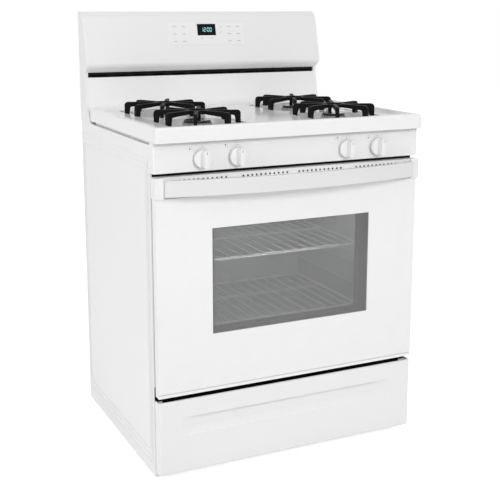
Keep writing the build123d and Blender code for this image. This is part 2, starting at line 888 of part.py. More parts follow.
# Door handle: a tall bowed band on two end posts
with BuildPart() as door_handle:
    inner_x = handle_half_length - handle_post
    with BuildSketch(Plane.XY.offset(handle_base)):
        with BuildLine():
            outer_left = (-handle_half_length, y_at(-handle_end_reach))
            outer_right = (handle_half_length, y_at(-handle_end_reach))
            inner_left = (-inner_x, y_at(-handle_end_reach + handle_band))
            inner_right = (inner_x, y_at(-handle_end_reach + handle_band))
            ThreePointArc(outer_left, (0, y_at(-handle_reach)), outer_right)
            Polyline(
                outer_right,
                (handle_half_length, y_at(-trim_face)),
                (inner_x, y_at(-trim_face)),
                inner_right,
            )
            ThreePointArc(inner_right, (0, y_at(-handle_reach + handle_band)), inner_left)
            Polyline(
                inner_left,
                (-inner_x, y_at(-trim_face)),
                (-handle_half_length, y_at(-trim_face)),
                outer_left,
            )
        make_face()
    extrude(amount=handle_h)
    front_edges = door_handle.faces().sort_by(Axis.Y)[0].edges()
    fillet(front_edges, radius=handle_edge_r)
save(door_handle, "door_handle")

# Door hinges: a channel inside the door at each side, crossed by the pivot pin
channel_half = hinge_lug_thick / 2 + hinge_side_gap + hinge_cheek
cheek_back = frame_back - contact_gap
with BuildPart() as door_hinges:
    for side in (-1, 1):
        x = side * hinge_x
        block(
            (x - channel_half, y_at(glass_back + sheet), door_bottom + 2 * sheet),
            (x + channel_half, y_at(cheek_back), hinge_channel_top),
        )
        block(
            (x - channel_half + hinge_cheek, y_at(glass_back + sheet + hinge_cheek), door_bottom + 2 * sheet),
            (x + channel_half - hinge_cheek, y_at(cheek_back), hinge_channel_top),
            Mode.SUBTRACT,
        )
        rod(
            (x - channel_half, y_at(-pivot_ahead), pivot_z),
            (x + channel_half, y_at(-pivot_ahead), pivot_z),
            hinge_pin_r,
        )
save(door_hinges, "door_hinges")

# Hinge receivers: a plate behind the apron with a lug that carries the pivot pin
receiver_front = apron_set_back + sheet
with BuildPart() as hinge_receivers:
    for side in (-1, 1):
        x = side * hinge_x
        block(
            (x - receiver_half_width, y_at(receiver_front), apron_base),
            (x + receiver_half_width, y_at(receiver_front + receiver_plate), flange_base),
        )
        block(
            (x - hinge_lug_thick / 2, y_at(-pivot_ahead), pivot_z - hinge_lug_r),
            (x + hinge_lug_thick / 2, y_at(receiver_front), flange_base),
        )
        rod(
            (x - hinge_lug_thick / 2, y_at(-pivot_ahead), pivot_z),
            (x + hinge_lug_thick / 2, y_at(-pivot_ahead), pivot_z),
            hinge_lug_r,
        )
        rod(
            (x - hinge_lug_thick / 2, y_at(-pivot_ahead), pivot_z),
            (x + hinge_lug_thick / 2, y_at(-pivot_ahead), pivot_z),
            hinge_pin_r + running_gap,
            Mode.SUBTRACT,
        )
save(hinge_receivers, "hinge_receivers")

# Drawer front: a pan with a finger scoop that fades out at its ends, and two brackets to the box
scoop_back = -door_face + scoop_depth
box_front = scoop_back + scoop_wall


def scoop_form(margin):
    """The scoop's hollow, grown by a margin."""
    face = y_at(-door_face)
    back = y_at(scoop_back + margin)
    lip = scoop_top + margin
    low = scoop_bottom - margin
    end = scoop_half_width + margin
    deep = scoop_half_width - scoop_end_run
    with BuildPart() as form:
        with BuildSketch(Plane.YZ) as section:
            with BuildLine():
                Polyline((face, low), (face, lip), (back, lip))
                ThreePointArc((back, lip), (face + 0.72 * (back - face), lip - 0.62 * (lip - low)), (face, low))
            make_face()
        extrude(section.sketch, amount=end, both=True)
        with BuildSketch(Plane.XY.offset(low)) as plan:
            with BuildLine():
                Polyline((-end, face), (-deep, back), (deep, back), (end, face), close=True)
            make_face()
        extrude(plan.sketch, amount=lip - low, mode=Mode.INTERSECT)
    return form.part


with BuildPart() as drawer_front:
    block((-drawer_half_width, y_at(-door_face), drawer_base), (drawer_half_width, y_at(-sheet), drawer_top))
    front_edges = drawer_front.faces().sort_by(Axis.Y)[0].edges()
    fillet(front_edges, radius=drawer_edge_r)
    offset(amount=-drawer_sheet, openings=drawer_front.faces().sort_by(Axis.Y)[-1])
    block(
        (drawer_sheet - drawer_half_width, y_at(-door_face + drawer_top_return), drawer_top - drawer_sheet),
        (drawer_half_width - drawer_sheet, y_at(-sheet), drawer_top),
        Mode.SUBTRACT,
    )
    add(scoop_form(scoop_wall))
    add(scoop_form(0), mode=Mode.SUBTRACT)
    for side in (-1, 1):
        block(
            (side * bracket_x - bracket_w / 2, y_at(-door_face + drawer_sheet), bracket_base),
            (side * bracket_x + bracket_w / 2, y_at(box_front), bracket_base + bracket_h),
        )
save(drawer_front, "drawer_front")

# Drawer box with a runner along each side
box_rear = box_front + box_depth
with BuildPart() as drawer_box:
    block((-box_half_width, y_at(box_front), box_base), (box_half_width, y_at(box_rear), box_top))
    offset(amount=-sheet, openings=drawer_box.faces().sort_by(Axis.Z)[-1])
    for side in (-1, 1):
        block(
            (side * box_half_width, y_at(rail_front), runner_z),
            (side * (box_half_width + runner_width), y_at(box_rear), runner_z + runner_h),
        )
save(drawer_box, "drawer_box")

# Drawer rails: channels on webs that stand on the base frame
rail_x = box_half_width + runner_width + contact_gap
rail_low = runner_z - contact_gap - rail_sheet
rail_high = runner_z + runner_h + contact_gap + rail_sheet
with BuildPart() as drawer_rails:
    for side in (-1, 1):
        block(
            (side * (rail_x - rail_lip), y_at(rail_front), rail_low),
            (side * (rail_x + rail_sheet), y_at(rail_front + rail_length), rail_high),
        )
        block(
            (side * (rail_x - rail_lip), y_at(rail_front), rail_low + rail_sheet),
            (side * rail_x, y_at(rail_front + rail_length), rail_high - rail_sheet),
            Mode.SUBTRACT,
        )
        block(
            (side * rail_x, y_at(rail_front), base_top),
            (side * (rail_x + rail_sheet), y_at(rail_front + rail_length), rail_low),
        )
save(drawer_rails, "drawer_rails")

# Control panel: a shallow pan with a hole for each valve stem
with BuildPart() as control_panel:
    block((-half_w, y_at(-control_face), control_base), (half_w, front_y, control_top))
    fillet(control_panel.faces().sort_by(Axis.Y)[0].edges().filter_by(Axis.Z), radius=panel_corner_r)
    offset(amount=-sheet, openings=control_panel.faces().sort_by(Axis.Y)[-1])
    for x in knob_xs:
        rod(
            (x, y_at(-control_face), knob_z),
            (x, y_at(-control_face + sheet), knob_z),
            stem_hole_r,
            Mode.SUBTRACT,
        )
save(control_panel, "control_panel")

# Gas valves: a body against the manifold and a nose that guides the stem
valve_rear = manifold_set_back - manifold_r
with BuildPart() as burner_valves:
    for x in knob_xs:
        nose = -control_face + valve_nose_front
        block(
            (x - valve_body[0] / 2, y_at(valve_rear - valve_body[1]), knob_z - valve_body[2] / 2),
            (x + valve_body[0] / 2, y_at(valve_rear), knob_z + valve_body[2] / 2),
        )
        rod((x, y_at(nose), knob_z), (x, y_at(valve_rear - valve_body[1]), knob_z), valve_nose_r)
        rod(
            (x, y_at(nose), knob_z),
            (x, y_at(nose + valve_bore_depth), knob_z),
            stem_r + running_gap,
            Mode.SUBTRACT,
        )
save(burner_valves, "burner_valves")

# Knobs that turn on push-in stems
for x, name in zip(knob_xs, knob_names):
    with BuildPart() as stem:
        rod(
            (x, y_at(-control_face + stem_back), knob_z),
            (x, y_at(-control_face - stem_front), knob_z),
            stem_r,
        )
    save(stem, f"valve_stem_{name}")

    skirt_back = -control_face - knob_stand_off
    skirt_front = skirt_back - knob_skirt_h
    with BuildPart() as knob:
        rod((x, y_at(skirt_back), knob_z), (x, y_at(skirt_front), knob_z), knob_r)
        fillet(knob.faces().sort_by(Axis.Y)[0].edges(), radius=knob_edge_r)
        with BuildSketch(Plane(origin=(x, y_at(skirt_front), knob_z), x_dir=(1, 0, 0), z_dir=(0, -1, 0))):
            SlotOverall(2 * knob_r - knob_edge_r, knob_grip_w, rotation=90)
        extrude(amount=knob_grip_h)
        fillet(knob.faces().sort_by(Axis.Y)[0].edges(), radius=knob_edge_r)
        rod(
            (x, y_at(skirt_back), knob_z),
            (x, y_at(-control_face - stem_front - contact_gap), knob_z),
            stem_r + running_gap,
            Mode.SUBTRACT,
        )
    save(knob, f"knob_{name}")

# Gas manifold: a pipe behind the valves, along the right side and down to the regulator
manifold_y = y_at(manifold_set_back)
with BuildPart() as gas_manifold:
    pipe(
        [
            (-manifold_left, manifold_y, knob_z),
            (riser_x, manifold_y, knob_z),
            (riser_x, y_ahead(riser_ahead), knob_z),
            (riser_x, y_ahead(riser_ahead), regulator_z + regulator_h),
        ],
        pipe_bend_r,
        manifold_r,
        manifold_r - manifold_wall,
    )
    rod((-manifold_left, manifold_y, knob_z), (manifold_wall - manifold_left, manifold_y, knob_z), manifold_r)
    for side in (-1, 1):
        block(
            (
                side * manifold_bracket_x - manifold_bracket_w / 2,
                y_at(sheet - control_face),
                knob_z - manifold_bracket_t / 2,
            ),
            (
                side * manifold_bracket_x + manifold_bracket_w / 2,
                manifold_y - manifold_r + manifold_wall,
                knob_z + manifold_bracket_t / 2,
            ),
        )
save(gas_manifold, "gas_manifold")

# Pressure regulator with the threaded gas inlet at the back
regulator_y = y_ahead(riser_ahead)
inlet_face = body_rear + inlet_behind
regulator_mid = regulator_z + regulator_h / 2
with BuildPart() as pressure_regulator:
    rod((riser_x, regulator_y, regulator_z), (riser_x, regulator_y, regulator_z + regulator_h), regulator_r)
    fillet(pressure_regulator.edges().filter_by(GeomType.CIRCLE), radius=regulator_edge_r)
    rod((riser_x, regulator_y, regulator_mid), (riser_x, inlet_face, regulator_mid), inlet_boss_r)
    rod(
        (riser_x, inlet_face - inlet_depth, regulator_mid),
        (riser_x, inlet_face, regulator_mid),
        inlet_bore_r,
        Mode.SUBTRACT,
    )
save(pressure_regulator, "pressure_regulator")

# Gas tubes: one from each valve to its burner, and one from the regulator to the oven valve
tube_y = y_at(valve_rear - valve_body[1] / 2)
with BuildPart() as gas_tubes:
    for x, name in zip(knob_xs, knob_names):
        burner = burner_places[name]
        pipe(
            [
                (x, tube_y, knob_z - valve_body[2] / 2),
                (x, tube_y, tube_z),
                (x, burner[1], tube_z),
                (burner[0], burner[1], tube_z),
                (burner[0], burner[1], tube_z + 2.5 * tube_bend_r),
            ],
            tube_bend_r,
            tube_r,
        )
    pipe(
        [
            (riser_x - regulator_r, regulator_y, regulator_mid),
            (0, regulator_y, regulator_mid),
            (0, regulator_y, oven_burner_z - valve_block[2] / 2),
        ],
        tube_bend_r,
        tube_r,
    )
save(gas_tubes, "gas_tubes")

# Cooktop: a rimmed pan with two wells, carried on rails along the side panels, and an upswept splash
with BuildPart() as cooktop:
    block((-half_w, y_at(-cooktop_face), cooktop_base), (half_w, cooktop_side_rear, rim_top))
    rim_edges = cooktop.faces().sort_by(Axis.Z)[-1].edges()
    front_corners = cooktop.faces().sort_by(Axis.Y)[0].edges().filter_by(Axis.Z)
    fillet(rim_edges.sort_by(Axis.Y)[:-1] + front_corners, radius=rim_edge_r)
    block(
        (rim_width - half_w, y_at(rim_width - cooktop_face), cooktop_z),
        (half_w - rim_width, cooktop_side_rear, rim_top),
        Mode.SUBTRACT,
    )
    block(
        (cooktop_sheet - half_w, y_at(cooktop_sheet - cooktop_face), cooktop_base),
        (half_w - cooktop_sheet, cooktop_side_rear, cooktop_z - cooktop_sheet),
        Mode.SUBTRACT,
    )
    for side in (-1, 1):
        block(
            (side * (half_w - cooktop_rail_inset), y_at(panel_corner_r), panel_top),
            (
                side * (half_w - cooktop_rail_inset - cooktop_sheet),
                cooktop_side_rear - cap_thick,
                cooktop_z - cooktop_sheet,
            ),
        )
    with BuildSketch(Plane.YZ):
        with BuildLine():
            FilletPolyline(
                (cooktop_side_rear - cap_thick, cooktop_z),
                (y_ahead(splash_foot_ahead), cooktop_z),
                (y_ahead(splash_top_ahead), splash_top),
                radius=splash_foot_r,
            )
            offset(amount=cooktop_sheet, side=Side.RIGHT)
        make_face()
    extrude(amount=inner_half, both=True)
    well_mid = (burner_rows["front"] + burner_rows["rear"]) / 2
    well_length = row_pitch + 2 * well_half
    for side in (-1, 1):
        with BuildSketch(Plane(origin=(side * burner_x, well_mid, ledge_z - cooktop_sheet))):
            under_w = 2 * (well_half + cooktop_sheet)
            RectangleRounded(under_w, well_length + 2 * cooktop_sheet, well_corner_r)
        extrude(amount=ledge_drop)
        with BuildSketch(Plane(origin=(side * burner_x, well_mid, ledge_z))):
            RectangleRounded(2 * well_half, well_length, well_corner_r)
        extrude(amount=ledge_drop, mode=Mode.SUBTRACT)
    for name, (x, y) in burner_places.items():
        with BuildSketch(Plane(origin=(x, y, bowl_z - cooktop_sheet))):
            under_w = 2 * (bowl_half + cooktop_sheet)
            RectangleRounded(under_w, under_w, bowl_corner_r)
        extrude(amount=ledge_z - bowl_z)
        with BuildSketch(Plane(origin=(x, y, bowl_z))):
            RectangleRounded(2 * bowl_half, 2 * bowl_half, bowl_corner_r)
        extrude(amount=ledge_z - bowl_z, mode=Mode.SUBTRACT)
        rod(
            (x, y, bowl_z - cooktop_sheet),
            (x, y, bowl_z),
            head_stem_r + head_hole_clearance,
            Mode.SUBTRACT,
        )
        electrode_y = y + head_r[name] + electrode_gap
        rod((x, electrode_y, bowl_z - cooktop_sheet), (x, electrode_y, bowl_z), electrode_r, Mode.SUBTRACT)
save(cooktop, "cooktop")

# Surface burners: fluted heads with caps and spark electrodes
with BuildPart() as burner_heads:
    for name, (x, y) in burner_places.items():
        rod((x, y, tube_z + 2.5 * tube_bend_r), (x, y, bowl_z), head_stem_r)
        rod((x, y, bowl_z), (x, y, bowl_z + head_flange_h), head_r[name] - 2 * cap_margin)
        rod((x, y, bowl_z + head_flange_h), (x, y, bowl_z + head_top), head_r[name])
        with Locations((x, y, bowl_z + head_top - flame_port_depth / 2)):
            with PolarLocations(head_r[name], flame_ports):
                Box(2 * flame_port_depth, flame_port_w, flame_port_depth, mode=Mode.SUBTRACT)
save(burner_heads, "burner_heads")

cap_base = bowl_z + head_top
with BuildPart() as burner_caps:
    for name, (x, y) in burner_places.items():
        rod((x, y, cap_base), (x, y, cap_base + cap_h), head_r[name] - cap_margin)
    fillet(burner_caps.faces().filter_by(Axis.Z).group_by(Axis.Z)[-1].edges(), radius=burner_cap_edge_r)
save(burner_caps, "burner_caps")

with BuildPart() as burner_electrodes:
    for name, (x, y) in burner_places.items():
        electrode_y = y + head_r[name] + electrode_gap
        rod(
            (x, electrode_y, bowl_z - electrode_below),
            (x, electrode_y, bowl_z + electrode_above),
            electrode_r,
        )
        rod((x, electrode_y, bowl_z), (x, electrode_y, bowl_z + electrode_collar_h), electrode_collar_r)
save(burner_electrodes, "burner_electrodes")

# Grates: eight legged fingers that meet in a small ring over the burner
leg_angle = degrees(atan2(grate_leg_y, grate_leg_x))
leg_outer = hypot(grate_leg_x, grate_leg_y) + grate_leg_depth / 2
finger_angles = [quarter + turn for quarter in (0, 90, 180, 270) for turn in (-leg_angle, leg_angle)]
for name, (x, y) in burner_places.items():
    with BuildPart() as grate:
        for angle in finger_angles:
            along = (cos(radians(angle)), sin(radians(angle)), 0)
            across = (sin(radians(angle)), -cos(radians(angle)), 0)
            with BuildSketch(Plane(origin=(x, y, 0), x_dir=along, z_dir=across)):
                with BuildLine():
                    FilletPolyline(
                        (grate_ring_r, grate_top),
                        (leg_outer, grate_top),
                        (leg_outer, ledge_z),
                        radius=grate_bend_r,
                    )
                    Polyline((leg_outer, ledge_z), (leg_outer - grate_foot_depth, ledge_z))
                    FilletPolyline(
                        (leg_outer - grate_foot_depth, ledge_z),
                        (leg_outer - grate_leg_depth, grate_top - grate_root_h),
                        (grate_ring_r, grate_top - grate_arm_h),
                        radius=grate_crook_r,
                    )
                    Polyline((grate_ring_r, grate_top - grate_arm_h), (grate_ring_r, grate_top))
                make_face()
            extrude(amount=grate_bar / 2, both=True)
        with BuildSketch(Plane(origin=(x, y, grate_top))):
            Circle(grate_ring_r + grate_ring_width / 2)
            Circle(grate_ring_r - grate_ring_width / 2, mode=Mode.SUBTRACT)
        extrude(amount=-grate_arm_h)
    save(grate, f"grate_{name}")

# Backguard: end caps the full height, and a sloped console shell between them
console_points = [
    (y_ahead(console_base_ahead), console_base),
    (y_ahead(console_lip_ahead), console_lip_z),
    (y_ahead(console_brow_ahead), console_brow_z),
    (y_ahead(console_crown_ahead), backguard_top),
    (body_rear, backguard_top),
]
with BuildPart() as backguard_end_caps:
    for side in (-1, 1):
        with BuildSketch(Plane.YZ.offset(side * half_w)):
            with BuildLine():
                foot = (y_ahead(cap_foot_ahead), panel_top)
                waist = (y_ahead(cap_waist_ahead), cap_waist_z)
                ThreePointArc(
                    foot,
                    (y_ahead(cap_foot_ahead - cap_sweep), (panel_top + cap_waist_z) / 2 + cap_sweep_rise),
                    waist,
                )
                Polyline(waist, (y_ahead(splash_top_ahead), splash_top), console_points[0])
                FilletPolyline(*console_points, radius=console_round_r)
                Polyline(console_points[-1], (body_rear, panel_top), foot)
            make_face()
        extrude(amount=-side * cap_thick)
    for face in backguard_end_caps.faces().sort_by(Axis.X)[:: len(backguard_end_caps.faces()) - 1]:
        brow = [e for e in face.edges() if e.center().Z > console_lip_z and e.center().Y < body_rear - 1]
        fillet(brow, radius=cap_edge_r)
save(backguard_end_caps, "backguard_end_caps")

slope = Vector(0, console_lip_ahead - console_brow_ahead, console_brow_z - console_lip_z)
face_mid = (
    0,
    y_ahead((console_brow_ahead + console_lip_ahead) / 2),
    (console_brow_z + console_lip_z) / 2,
)
console_face = Plane(origin=face_mid, x_dir=(1, 0, 0), z_dir=(0, -slope.Z, slope.Y))
with BuildPart() as backguard_console:
    with BuildSketch(Plane.YZ):
        with BuildLine():
            FilletPolyline(*console_points, radius=console_round_r)
            Polyline(console_points[-1], (body_rear, console_base), console_points[0])
        make_face()
    extrude(amount=inner_half, both=True)
    offset(amount=-console_sheet, openings=backguard_console.faces().sort_by(Axis.Y)[-1])
    with BuildSketch(console_face):
        with Locations((0, display_rise)):
            Rectangle(display_width + display_clearance, display_h + display_clearance)
    extrude(amount=-2 * console_sheet, mode=Mode.SUBTRACT)
save(backguard_console, "backguard_console")

with BuildPart() as touch_overlay:
    with BuildSketch(console_face):
        with Locations((0, overlay_rise)):
            Rectangle(overlay_width, overlay_h)
        with Locations((0, display_rise)):
            Rectangle(display_width + display_clearance, display_h + display_clearance, mode=Mode.SUBTRACT)
    extrude(amount=overlay_thick)
save(touch_overlay, "touch_overlay")

board_front = console_sheet + board_gap
with BuildPart() as clock_display:
    with BuildSketch(console_face.offset(-board_front)):
        with Locations((0, display_rise)):
            Rectangle(display_width, display_h)
    extrude(amount=board_front + display_thick)
save(clock_display, "clock_display")

with BuildPart() as control_board:
    with BuildSketch(console_face.offset(-board_front)):
        with Locations((0, overlay_rise)):
            Rectangle(board_width, board_h)
    extrude(amount=-board_thick)
    with BuildSketch(console_face.offset(-board_front)):
        with Locations((0, overlay_rise)):
            with GridLocations(board_width - 2 * board_post_inset, board_h - 2 * board_post_inset, 2, 2):
                Circle(board_post_r)
    extrude(amount=board_gap)
save(control_board, "control_board")

with BuildPart() as oven_vent_trim:
    block(
        (-vent_half_width, y_ahead(vent_ahead), splash_top),
        (vent_half_width, y_ahead(vent_ahead - vent_depth), console_base),
    )
    vent_mid = (0, y_ahead(vent_ahead - vent_depth / 2), (splash_top + console_base) / 2)
    slot_run = (0, -cos(radians(vent_slot_slope)), -sin(radians(vent_slot_slope)))
    with BuildSketch(Plane(origin=vent_mid, x_dir=(1, 0, 0), z_dir=slot_run)):
        with GridLocations(2 * vent_half_width / vent_slots, 1, vent_slots, 1):
            SlotOverall(vent_slot_length, vent_slot_h)
    extrude(amount=vent_depth, both=True, mode=Mode.SUBTRACT)
save(oven_vent_trim, "oven_vent_trim")
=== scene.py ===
"""A white freestanding gas range on a plain pale floor, dressed over its solids."""

import json
from math import pi, radians, sqrt

import bmesh
import bpy
from mathutils import Matrix, Vector


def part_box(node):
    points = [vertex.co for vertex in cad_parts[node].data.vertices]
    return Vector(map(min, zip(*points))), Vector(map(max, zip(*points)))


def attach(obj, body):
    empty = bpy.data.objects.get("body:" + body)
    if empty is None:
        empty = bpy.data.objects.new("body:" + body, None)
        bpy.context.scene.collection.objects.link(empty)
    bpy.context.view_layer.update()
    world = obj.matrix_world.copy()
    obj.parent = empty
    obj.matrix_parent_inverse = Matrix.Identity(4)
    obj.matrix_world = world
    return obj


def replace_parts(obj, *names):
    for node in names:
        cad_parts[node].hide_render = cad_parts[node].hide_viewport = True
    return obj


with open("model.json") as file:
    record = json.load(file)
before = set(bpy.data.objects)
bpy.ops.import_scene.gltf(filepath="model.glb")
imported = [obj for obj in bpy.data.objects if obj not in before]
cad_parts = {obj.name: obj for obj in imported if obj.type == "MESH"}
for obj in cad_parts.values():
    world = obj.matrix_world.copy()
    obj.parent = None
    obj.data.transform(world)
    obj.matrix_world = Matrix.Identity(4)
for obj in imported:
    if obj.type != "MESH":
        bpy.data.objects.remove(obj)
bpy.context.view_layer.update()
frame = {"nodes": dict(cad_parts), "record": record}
nodes = frame["nodes"]
record = frame["record"]
body_of_node = {n: body for body, names in record["behaviour"]["bodies"].items() for n in names}
axis_of = {j["child"]: j["pos_m"] for j in record["behaviour"]["joints"] if j["type"] == "hinge"}

MM = 0.001
CORNERS = ("front_left", "rear_left", "rear_right", "front_right")

# Places that come from the frame, in metres
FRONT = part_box("left_side_panel")[0].y
CONTROL_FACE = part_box("control_panel")[0].y
KNOB_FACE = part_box("knob_front_left")[0].y
KNOB_XS = [axis_of[f"knob_{corner}"][0] for corner in CORNERS]
KNOB_Z = axis_of["knob_front_left"][2]

# Sockets of a colour mix go by number, because their names are shared with other kinds of mix
MIX_SHARE = 0
MIX_FIRST = 6
MIX_SECOND = 7
MIX_RESULT = 2
GRAIN_DETAIL = 3.0
GRAIN_STRENGTH = 0.4
WHITE = (1, 1, 1, 1)


def linear(hex_colour):
    """An sRGB hex colour as linear red, green, blue and alpha."""
    shares = [int(hex_colour[i : i + 2], 16) / 255 for i in (1, 3, 5)]
    return tuple(s / 12.92 if s <= 0.04045 else ((s + 0.055) / 1.055) ** 2.4 for s in shares) + (1.0,)


def add_node(tree, kind, inputs=None, links=None, **settings):
    """Adds one node with its settings, its input values and its incoming links."""
    node = tree.nodes.new(kind)
    for name, value in settings.items():
        setattr(node, name, value)
    for name, value in (inputs or {}).items():
        node.inputs[name].default_value = value
    for name, socket in (links or {}).items():
        tree.links.new(socket, node.inputs[name])
    return node


def start_material(name, **sockets):
    """A material with one surface shader; gives its tree, its shader and the piece's own coordinates."""
    material = bpy.data.materials.new(name)
    material.use_nodes = True
    tree = material.node_tree
    tree.nodes.clear()
    shader = add_node(tree, "ShaderNodeBsdfPrincipled", {k.replace("_", " "): v for k, v in sockets.items()})
    add_node(tree, "ShaderNodeOutputMaterial", links={"Surface": shader.outputs["BSDF"]})
    coords = add_node(tree, "ShaderNodeTexCoord")
    return material, tree, shader, coords.outputs["Object"]


def tone_and_gloss(tree, shader, tones, tone_share, roughness, gloss_share):
    """Drives a shader's colour between two tones, and its gloss between two roughnesses."""
    tone = add_node(
        tree,
        "ShaderNodeMix",
        {MIX_FIRST: linear(tones[0]), MIX_SECOND: linear(tones[1])},
        {MIX_SHARE: tone_share},
        data_type="RGBA",
    )
    gloss = add_node(
        tree,
        "ShaderNodeMapRange",
        {"To Min": roughness[0], "To Max": roughness[1]},
        {"Value": gloss_share},
    )
    tree.links.new(tone.outputs[MIX_RESULT], shader.inputs["Base Color"])
    tree.links.new(gloss.outputs["Result"], shader.inputs["Roughness"])


def grained(name, tones, roughness, grain, relief, stretch=(1, 1, 1), **sockets):
    """A finish with a fine grain, whose size and relief are in millimetres.

    It has two close tones, a gloss that wanders between two roughnesses and a slight bump.
    """
    material, tree, shader, coords = start_material(name, **sockets)
    scaled = add_node(tree, "ShaderNodeMapping", {"Scale": stretch}, {"Vector": coords})
    noise = add_node(
        tree,
        "ShaderNodeTexNoise",
        {"Scale": 1 / (grain * MM), "Detail": GRAIN_DETAIL},
        {"Vector": scaled.outputs["Vector"]},
    )
    grains = noise.outputs["Fac"]
    tone_and_gloss(tree, shader, tones, grains, roughness, grains)
    bump = add_node(
        tree,
        "ShaderNodeBump",
        {"Strength": GRAIN_STRENGTH, "Distance": relief * MM},
        {"Height": grains},
    )
    tree.links.new(bump.outputs["Normal"], shader.inputs["Normal"])
    return material


def celled(name, tones, roughness, cell, edges, each="Distance", **sockets):
    """A finish of small cells or specks, whose size is in millimetres.

    Tones go by the distance from a cell's middle, or by a colour that each cell has to itself.
    The edges are where the first tone begins to give way and where the second has taken over.
    """
    material, tree, shader, coords = start_material(name, **sockets)
    cells = add_node(tree, "ShaderNodeTexVoronoi", {"Scale": 1 / (cell * MM)}, {"Vector": coords})
    split = add_node(
        tree,
        "ShaderNodeMapRange",
        {"From Min": edges[0], "From Max": edges[1]},
        {"Value": cells.outputs[each]},
    )
    tone_and_gloss(tree, shader, tones, split.outputs["Result"], roughness, cells.outputs[each])
    return material


# Vitreous enamel sprayed on steel and fired: bright, even, with a faint orange peel in its gloss.
# The peel is drawn at 7 mm, coarser than a real one of about 2 mm, so that it shows.
white_enamel = grained("white_vitreous_enamel", ("#f2f2f2", "#efefef"), (0.18, 0.28), 7, 0.02)
# The cooktop's enamel is the same, a little glossier.
cooktop_enamel = grained("white_cooktop_enamel", ("#f3f3f3", "#f0f0f0"), (0.12, 0.2), 9, 0.02)
# Injection-moulded ABS: white, a touch warmer and softer than the enamel.
white_abs = grained("white_moulded_abs", ("#f1f1f0", "#eeeeed"), (0.26, 0.36), 4, 0.02)
# Baked paint on the door's formed trim: smooth, a touch softer in its gloss than fired enamel.
trim_paint = grained("white_baked_paint", ("#f1f1f1", "#eeeeee"), (0.26, 0.36), 8, 0.02)
# The handle's coat of the same paint is slightly greyer and glossier than the trim behind it; the grey is
# painted shade, standing for the shade on the handle's front face.
shaded_handle_paint = grained("white_baked_handle_paint", ("#e6e6e6", "#e3e3e3"), (0.18, 0.28), 7, 0.02)
# Powder coat on the door tub: fine texture, lower gloss. Its white is brighter than the enamel's, a painted
# highlight standing for the light on the door's lower lip.
white_powder_painted_highlight = grained("white_powder_coat", ("#f7f7f7", "#f3f3f3"), (0.38, 0.5), 2.5, 0.03)
# Float glass with white ceramic ink fired on its back: very smooth over an even white.
frit_glass = grained("white_fritted_glass", ("#f4f4f4", "#f0f0f0"), (0.06, 0.1), 40, 0.0, Coat_Weight=0.3)
# The window is printed with a fine dot screen that greys what is behind it.
# The screen is drawn at 2.5 mm, coarser than a real one of about 0.8 mm, so that it shows.
window_screen = celled(
    "dot_screened_glass", ("#848484", "#7c7c7c"), (0.06, 0.1), 2.5, (0.25, 0.5), Alpha=0.55
)
# Plain float glass, seen mostly by its gloss.
clear_glass = grained("clear_float_glass", ("#dfe6e3", "#d9e0dd"), (0.03, 0.05), 60, 0.0, Alpha=0.12)
# Oven porcelain: grey ground coat with pale specks.
oven_enamel = celled("speckled_oven_porcelain", ("#c4c5c4", "#6a6c6d"), (0.3, 0.42), 6, (0.1, 0.14))
# The inner door panel has a darker ground coat without the specks.
inner_panel_enamel = grained("grey_ground_coat", ("#4a4b4c", "#444546"), (0.25, 0.35), 8, 0.03)
# The frame round the oven mouth has a black one, dull in the gaps where it is seen. The black is partly its
# own coat and partly painted shade, standing for the shade in those gaps.
frame_enamel_and_gap_shade = grained(
    "black_ground_coat", ("#111112", "#0b0b0c"), (0.5, 0.6), 8, 0.03, Specular_IOR_Level=0.2
)
# Sand-cast iron under matte porcelain: black, grainy and dull.
cast_iron = grained(
    "matte_black_cast_iron", ("#161617", "#0d0d0e"), (0.46, 0.62), 2.2, 0.25, Specular_IOR_Level=0.12
)
# Burner caps are smoother castings under a glossy porcelain.
cap_enamel = grained("black_cap_porcelain", ("#262627", "#1b1b1c"), (0.1, 0.16), 5, 0.03)
# Die-cast aluminium, dull grey from its skin.
die_cast = grained("die_cast_aluminium", ("#cfd0d1", "#bdbec0"), (0.34, 0.48), 3, 0.06, Metallic=1.0)
# Hot-dip galvanised sheet: spangles about 12 mm across that differ in grey and gloss.
galvanised = celled(
    "galvanised_sheet", ("#b4b7b9", "#a4a8aa"), (0.36, 0.48), 12, (0.1, 0.9), each="Color", Metallic=1.0
)
# Black iron pipe with mill scale: dark brown-black, dull and slightly rough.
iron_pipe = grained("black_iron_pipe", ("#2c2b2a", "#1e1d1c"), (0.45, 0.6), 4, 0.08)
# Drawn aluminium tube: pale and dull, with a slight mottle.
drawn_tube = grained("drawn_aluminium_tube", ("#c3c5c6", "#b0b2b4"), (0.3, 0.42), 2, 0.02, Metallic=1.0)
# Forged and machined brass: yellow metal with a soft gloss.
brass = grained("machined_brass", ("#c2a15a", "#a98645"), (0.28, 0.4), 2.5, 0.04, Metallic=1.0)
# Zinc-plated steel: pale metal, brighter in its gloss than bare castings.
zinc_steel = grained("zinc_plated_steel", ("#c4c6c8", "#b2b5b8"), (0.24, 0.36), 3, 0.02, Metallic=1.0)
# Nickel-chrome plated wire, dulled by heat, so that part of its light is scattered.
chrome_wire = grained("chrome_plated_wire", ("#f0f0f0", "#e6e7e7"), (0.3, 0.4), 12, 0.01, Metallic=0.86)
# Glass wool blanket: straw-coloured, matted in flat layers.
glass_wool = grained("glass_wool", ("#cdbf8a", "#a99a62"), (0.85, 0.95), 5, 1.2, (1, 1, 3))
# Braided glass-fibre rope: dark, with a paler middle to each small strand.
braid = celled("braided_glass_rope", ("#3b3b3a", "#1c1c1b"), (0.7, 0.9), 2.5, (0.15, 0.5))
# Steatite ceramic, off-white and waxy.
ceramic = grained("steatite_ceramic", ("#e8e5da", "#dcd8cb"), (0.3, 0.42), 2, 0.02)
# Black moulded plastic with a light spark-eroded texture.
black_abs = grained(
    "black_textured_plastic", ("#0c0c0c", "#070707"), (0.6, 0.7), 1.2, 0.05, Specular_IOR_Level=0.2
)
